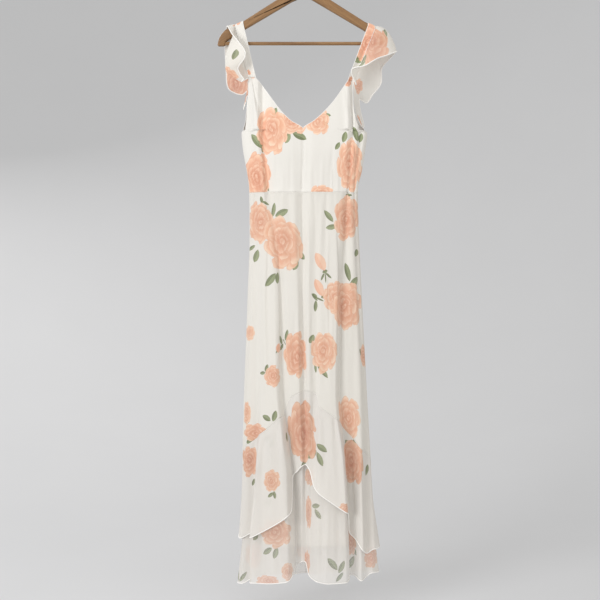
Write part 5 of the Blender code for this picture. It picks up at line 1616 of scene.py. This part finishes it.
def build_hanger():
    """Arms cut from a board and bored, a dowel bar, and a bent wire hook."""
    outline = hanger_outline()
    board = bpy.data.curves.new("hanger_board", "CURVE")
    board.dimensions = "2D"
    board.fill_mode = "BOTH"
    board.extrude = 0.5 * ARM_THICK * MM
    spline = board.splines.new("POLY")
    spline.points.add(len(outline) - 1)
    for knot, (x, z) in zip(spline.points, outline):
        knot.co = (x * MM, z * MM, 0.0, 1.0)
    spline.use_cyclic_u = True
    arms = bpy.data.objects.new("hanger_board", board)
    bpy.context.scene.collection.objects.link(arms)
    arms.rotation_euler = (0.5 * math.pi, 0.0, 0.0)
    only(arms)
    bpy.ops.object.convert(target="MESH")
    arms = bpy.context.object
    arms.name = "hanger_board"
    bpy.ops.object.transform_apply(location=True, rotation=True, scale=True)
    bpy.ops.object.mode_set(mode="EDIT")
    bpy.ops.mesh.select_all(action="SELECT")
    bpy.ops.mesh.remove_doubles(threshold=0.00001)
    bpy.ops.mesh.normals_make_consistent(inside=False)
    bpy.ops.object.mode_set(mode="OBJECT")
    edge = arms.modifiers.new("rounded_edges", "BEVEL")
    edge.width = ARM_EDGE * MM
    edge.segments = 6
    edge.limit_method = "ANGLE"
    edge.angle_limit = math.radians(60.0)
    bpy.ops.object.modifier_apply(modifier="rounded_edges")
    bar_hole = round_rod("bar_hole", BAR_HOLE_RADIUS, 2.0 * BAR_HOLE_OUT, (0.0, 0.0, -BAR_DROP), 40, True)
    shank_hole = round_rod("shank_hole", HOOK_HOLE_RADIUS, 2.0 * HOOK_HOLE_DEPTH,
                           (0.0, 0.0, -arm_top_at(0.0)), 32, False)
    for cutter in (bar_hole, shank_hole):
        only(arms)
        cut = arms.modifiers.new("hole", "BOOLEAN")
        cut.operation = "DIFFERENCE"
        cut.solver = "EXACT"
        cut.object = cutter
        bpy.ops.object.modifier_apply(modifier="hole")
        bpy.data.objects.remove(cutter, do_unlink=True)
    only(arms)
    bpy.ops.object.shade_smooth_by_angle(angle=math.radians(35.0))
    bar = round_rod("hanger_dowel", BAR_RADIUS, 2.0 * BAR_OUT, (0.0, 0.0, -BAR_DROP), 40, True)
    only(bar)
    bpy.ops.object.shade_smooth_by_angle(angle=math.radians(40.0))
    hook = tube("hanger_wire", hook_path(), HOOK_WIRE_RADIUS, 5)
    for piece, node, slot_name, material in (
        (arms, "hanger_arms", "wood", ARM_WOOD),
        (bar, "hanger_bar", "wood", BAR_WOOD),
        (hook, "hanger_hook", "hook_steel", STEEL),
    ):
        piece.data.materials.clear()
        piece.data.materials.append(material)
        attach(piece, "root")
        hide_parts(node)


def hook_path():
    radius = HOOK_INNER_RADIUS + HOOK_WIRE_RADIUS
    foot = float(arm_top_at(0.0)) + HOOK_HOLE_DEPTH - HOOK_FOOT_GAP
    start = math.radians(HOOK_START_ANGLE)
    bend = np.array([radius * math.cos(start), 0.0, radius * math.sin(start) - HOOK_INNER_RADIUS])
    heading = np.array([-math.sin(start), 0.0, math.cos(start)])
    shank_top = np.array([0.0, 0.0, -HOOK_SHANK_TOP])
    reach = np.linalg.norm(bend - shank_top)
    pull_up = shank_top + np.array([0.0, 0.0, HOOK_PULL * reach])
    pull_back = bend - heading * HOOK_PULL * reach
    points = [np.array([0.0, 0.0, -foot]), np.array([0.0, 0.0, -0.5 * (foot + HOOK_SHANK_TOP)])]
    for f in np.linspace(0.0, 1.0, 14, endpoint=False):
        points.append(shank_top * (1 - f) ** 3 + pull_up * 3 * f * (1 - f) ** 2
                      + pull_back * 3 * f * f * (1 - f) + bend * f ** 3)
    for angle in np.radians(np.linspace(HOOK_START_ANGLE, HOOK_END_ANGLE, 45)):
        points.append(np.array([radius * math.cos(angle), 0.0,
                                radius * math.sin(angle) - HOOK_INNER_RADIUS]))
    return points


def build_stage():
    """A pale round floor that curves up into a plain wall far behind the object on every side."""
    profile = [(r, FLOOR_LEVEL) for r in np.linspace(0.0, FLOOR_RADIUS, 9)]
    for angle in np.linspace(0.0, 0.5 * math.pi, 24)[1:]:
        profile.append((FLOOR_RADIUS + CORNER_RADIUS * math.sin(angle),
                        FLOOR_LEVEL + CORNER_RADIUS * (1.0 - math.cos(angle))))
    profile.append((FLOOR_RADIUS + CORNER_RADIUS, STAGE_TOP))
    stage, row, col = new_grid("stage", STAGE_SIDES, len(profile) - 1)
    reach = np.array(profile)[row, 0]
    angle = 2.0 * math.pi * (col % STAGE_SIDES) / STAGE_SIDES
    points = np.stack([reach * np.cos(angle), reach * np.sin(angle), np.array(profile)[row, 1]], axis=-1)
    set_points(stage, points / MM)
    only(stage)
    bpy.ops.object.mode_set(mode="EDIT")
    bpy.ops.mesh.select_all(action="SELECT")
    bpy.ops.mesh.remove_doubles(threshold=0.0001)
    bpy.ops.mesh.normals_make_consistent(inside=True)
    bpy.ops.object.mode_set(mode="OBJECT")
    bpy.ops.object.shade_smooth()
    material, tree, shader, place = new_material("stage_paper")
    paper = noise(tree, place, 3.0, 2.0)
    feed(tree, shader.inputs["Base Color"], tint(tree, paper.outputs[0], (0.71, 0.72, 0.74, 1.0),
                                                 (0.73, 0.74, 0.76, 1.0)))
    shader.inputs["Roughness"].default_value = 0.9
    stage.data.materials.clear()
    stage.data.materials.append(material)
    stage.visible_shadow = False
    stage.visible_diffuse = False
    stage.visible_glossy = False
    stage.visible_transmission = False


Light = namedtuple("Light", "name place target size power colour")
LIGHTS = (
    Light("key", (-3.0, -3.2, -0.3), (0.0, 0.0, -1.0), 2.2, 102.0, (1.0, 0.99, 0.98)),
    Light("fill", (3.0, -2.6, -1.0), (0.0, 0.0, -1.0), 2.4, 30.0, (1.0, 0.93, 0.84)),
    Light("back", (-1.8, 2.4, 1.4), (0.0, 0.0, -0.9), 1.8, 34.0, (1.0, 0.98, 0.96)),
    Light("top", (-0.3, -1.0, 1.4), (0.0, 0.0, -0.6), 1.6, 10.0, (1.0, 1.0, 1.0)),
)
AMBIENT = (0.92, 0.91, 0.89, 1.0)
AMBIENT_STRENGTH = 0.58


def build_camera_and_lights():
    camera = bpy.data.objects.new("camera", bpy.data.cameras.new("camera"))
    bpy.context.scene.collection.objects.link(camera)
    camera.location = CAMERA_PLACE
    camera.rotation_euler = (0.5 * math.pi, 0.0, 0.0)
    camera.data.sensor_width = SENSOR
    camera.data.lens = SENSOR * -CAMERA_PLACE[1] / VIEW_WIDTH
    camera.data.clip_end = 30.0
    bpy.context.scene.camera = camera
    for row in LIGHTS:
        lamp = bpy.data.lights.new(row.name, "AREA")
        lamp.shape = "DISK"
        lamp.size = row.size
        lamp.energy = row.power
        lamp.color = row.colour
        holder = bpy.data.objects.new(row.name, lamp)
        holder.visible_camera = False
        bpy.context.scene.collection.objects.link(holder)
        holder.location = row.place
        aim = Vector(row.target) - Vector(row.place)
        holder.rotation_euler = aim.to_track_quat("-Z", "Y").to_euler()
    world = bpy.data.worlds.new("studio")
    world.use_nodes = True
    sky = world.node_tree.nodes["Background"]
    sky.inputs["Color"].default_value = AMBIENT
    sky.inputs["Strength"].default_value = AMBIENT_STRENGTH
    bpy.context.scene.world = world
    bpy.context.scene.view_settings.view_transform = "Standard"
    bpy.context.scene.cycles.transparent_max_bounces = 32


CHIFFON_SEAM = cloth_material("chiffon_seam", IVORY, 1.0, printed=False)

build_camera_and_lights()
build_stage()
build_skirt()
build_bodice()
build_straps()
build_flutter("flutter_left", STRAP_LEFT, FLUTTER_LEFT)
build_flutter("flutter_right", STRAP_RIGHT, FLUTTER_RIGHT)
build_side_seams()
build_hanger()

bpy.ops.object.select_all(action="DESELECT")
bpy.context.view_layer.update()
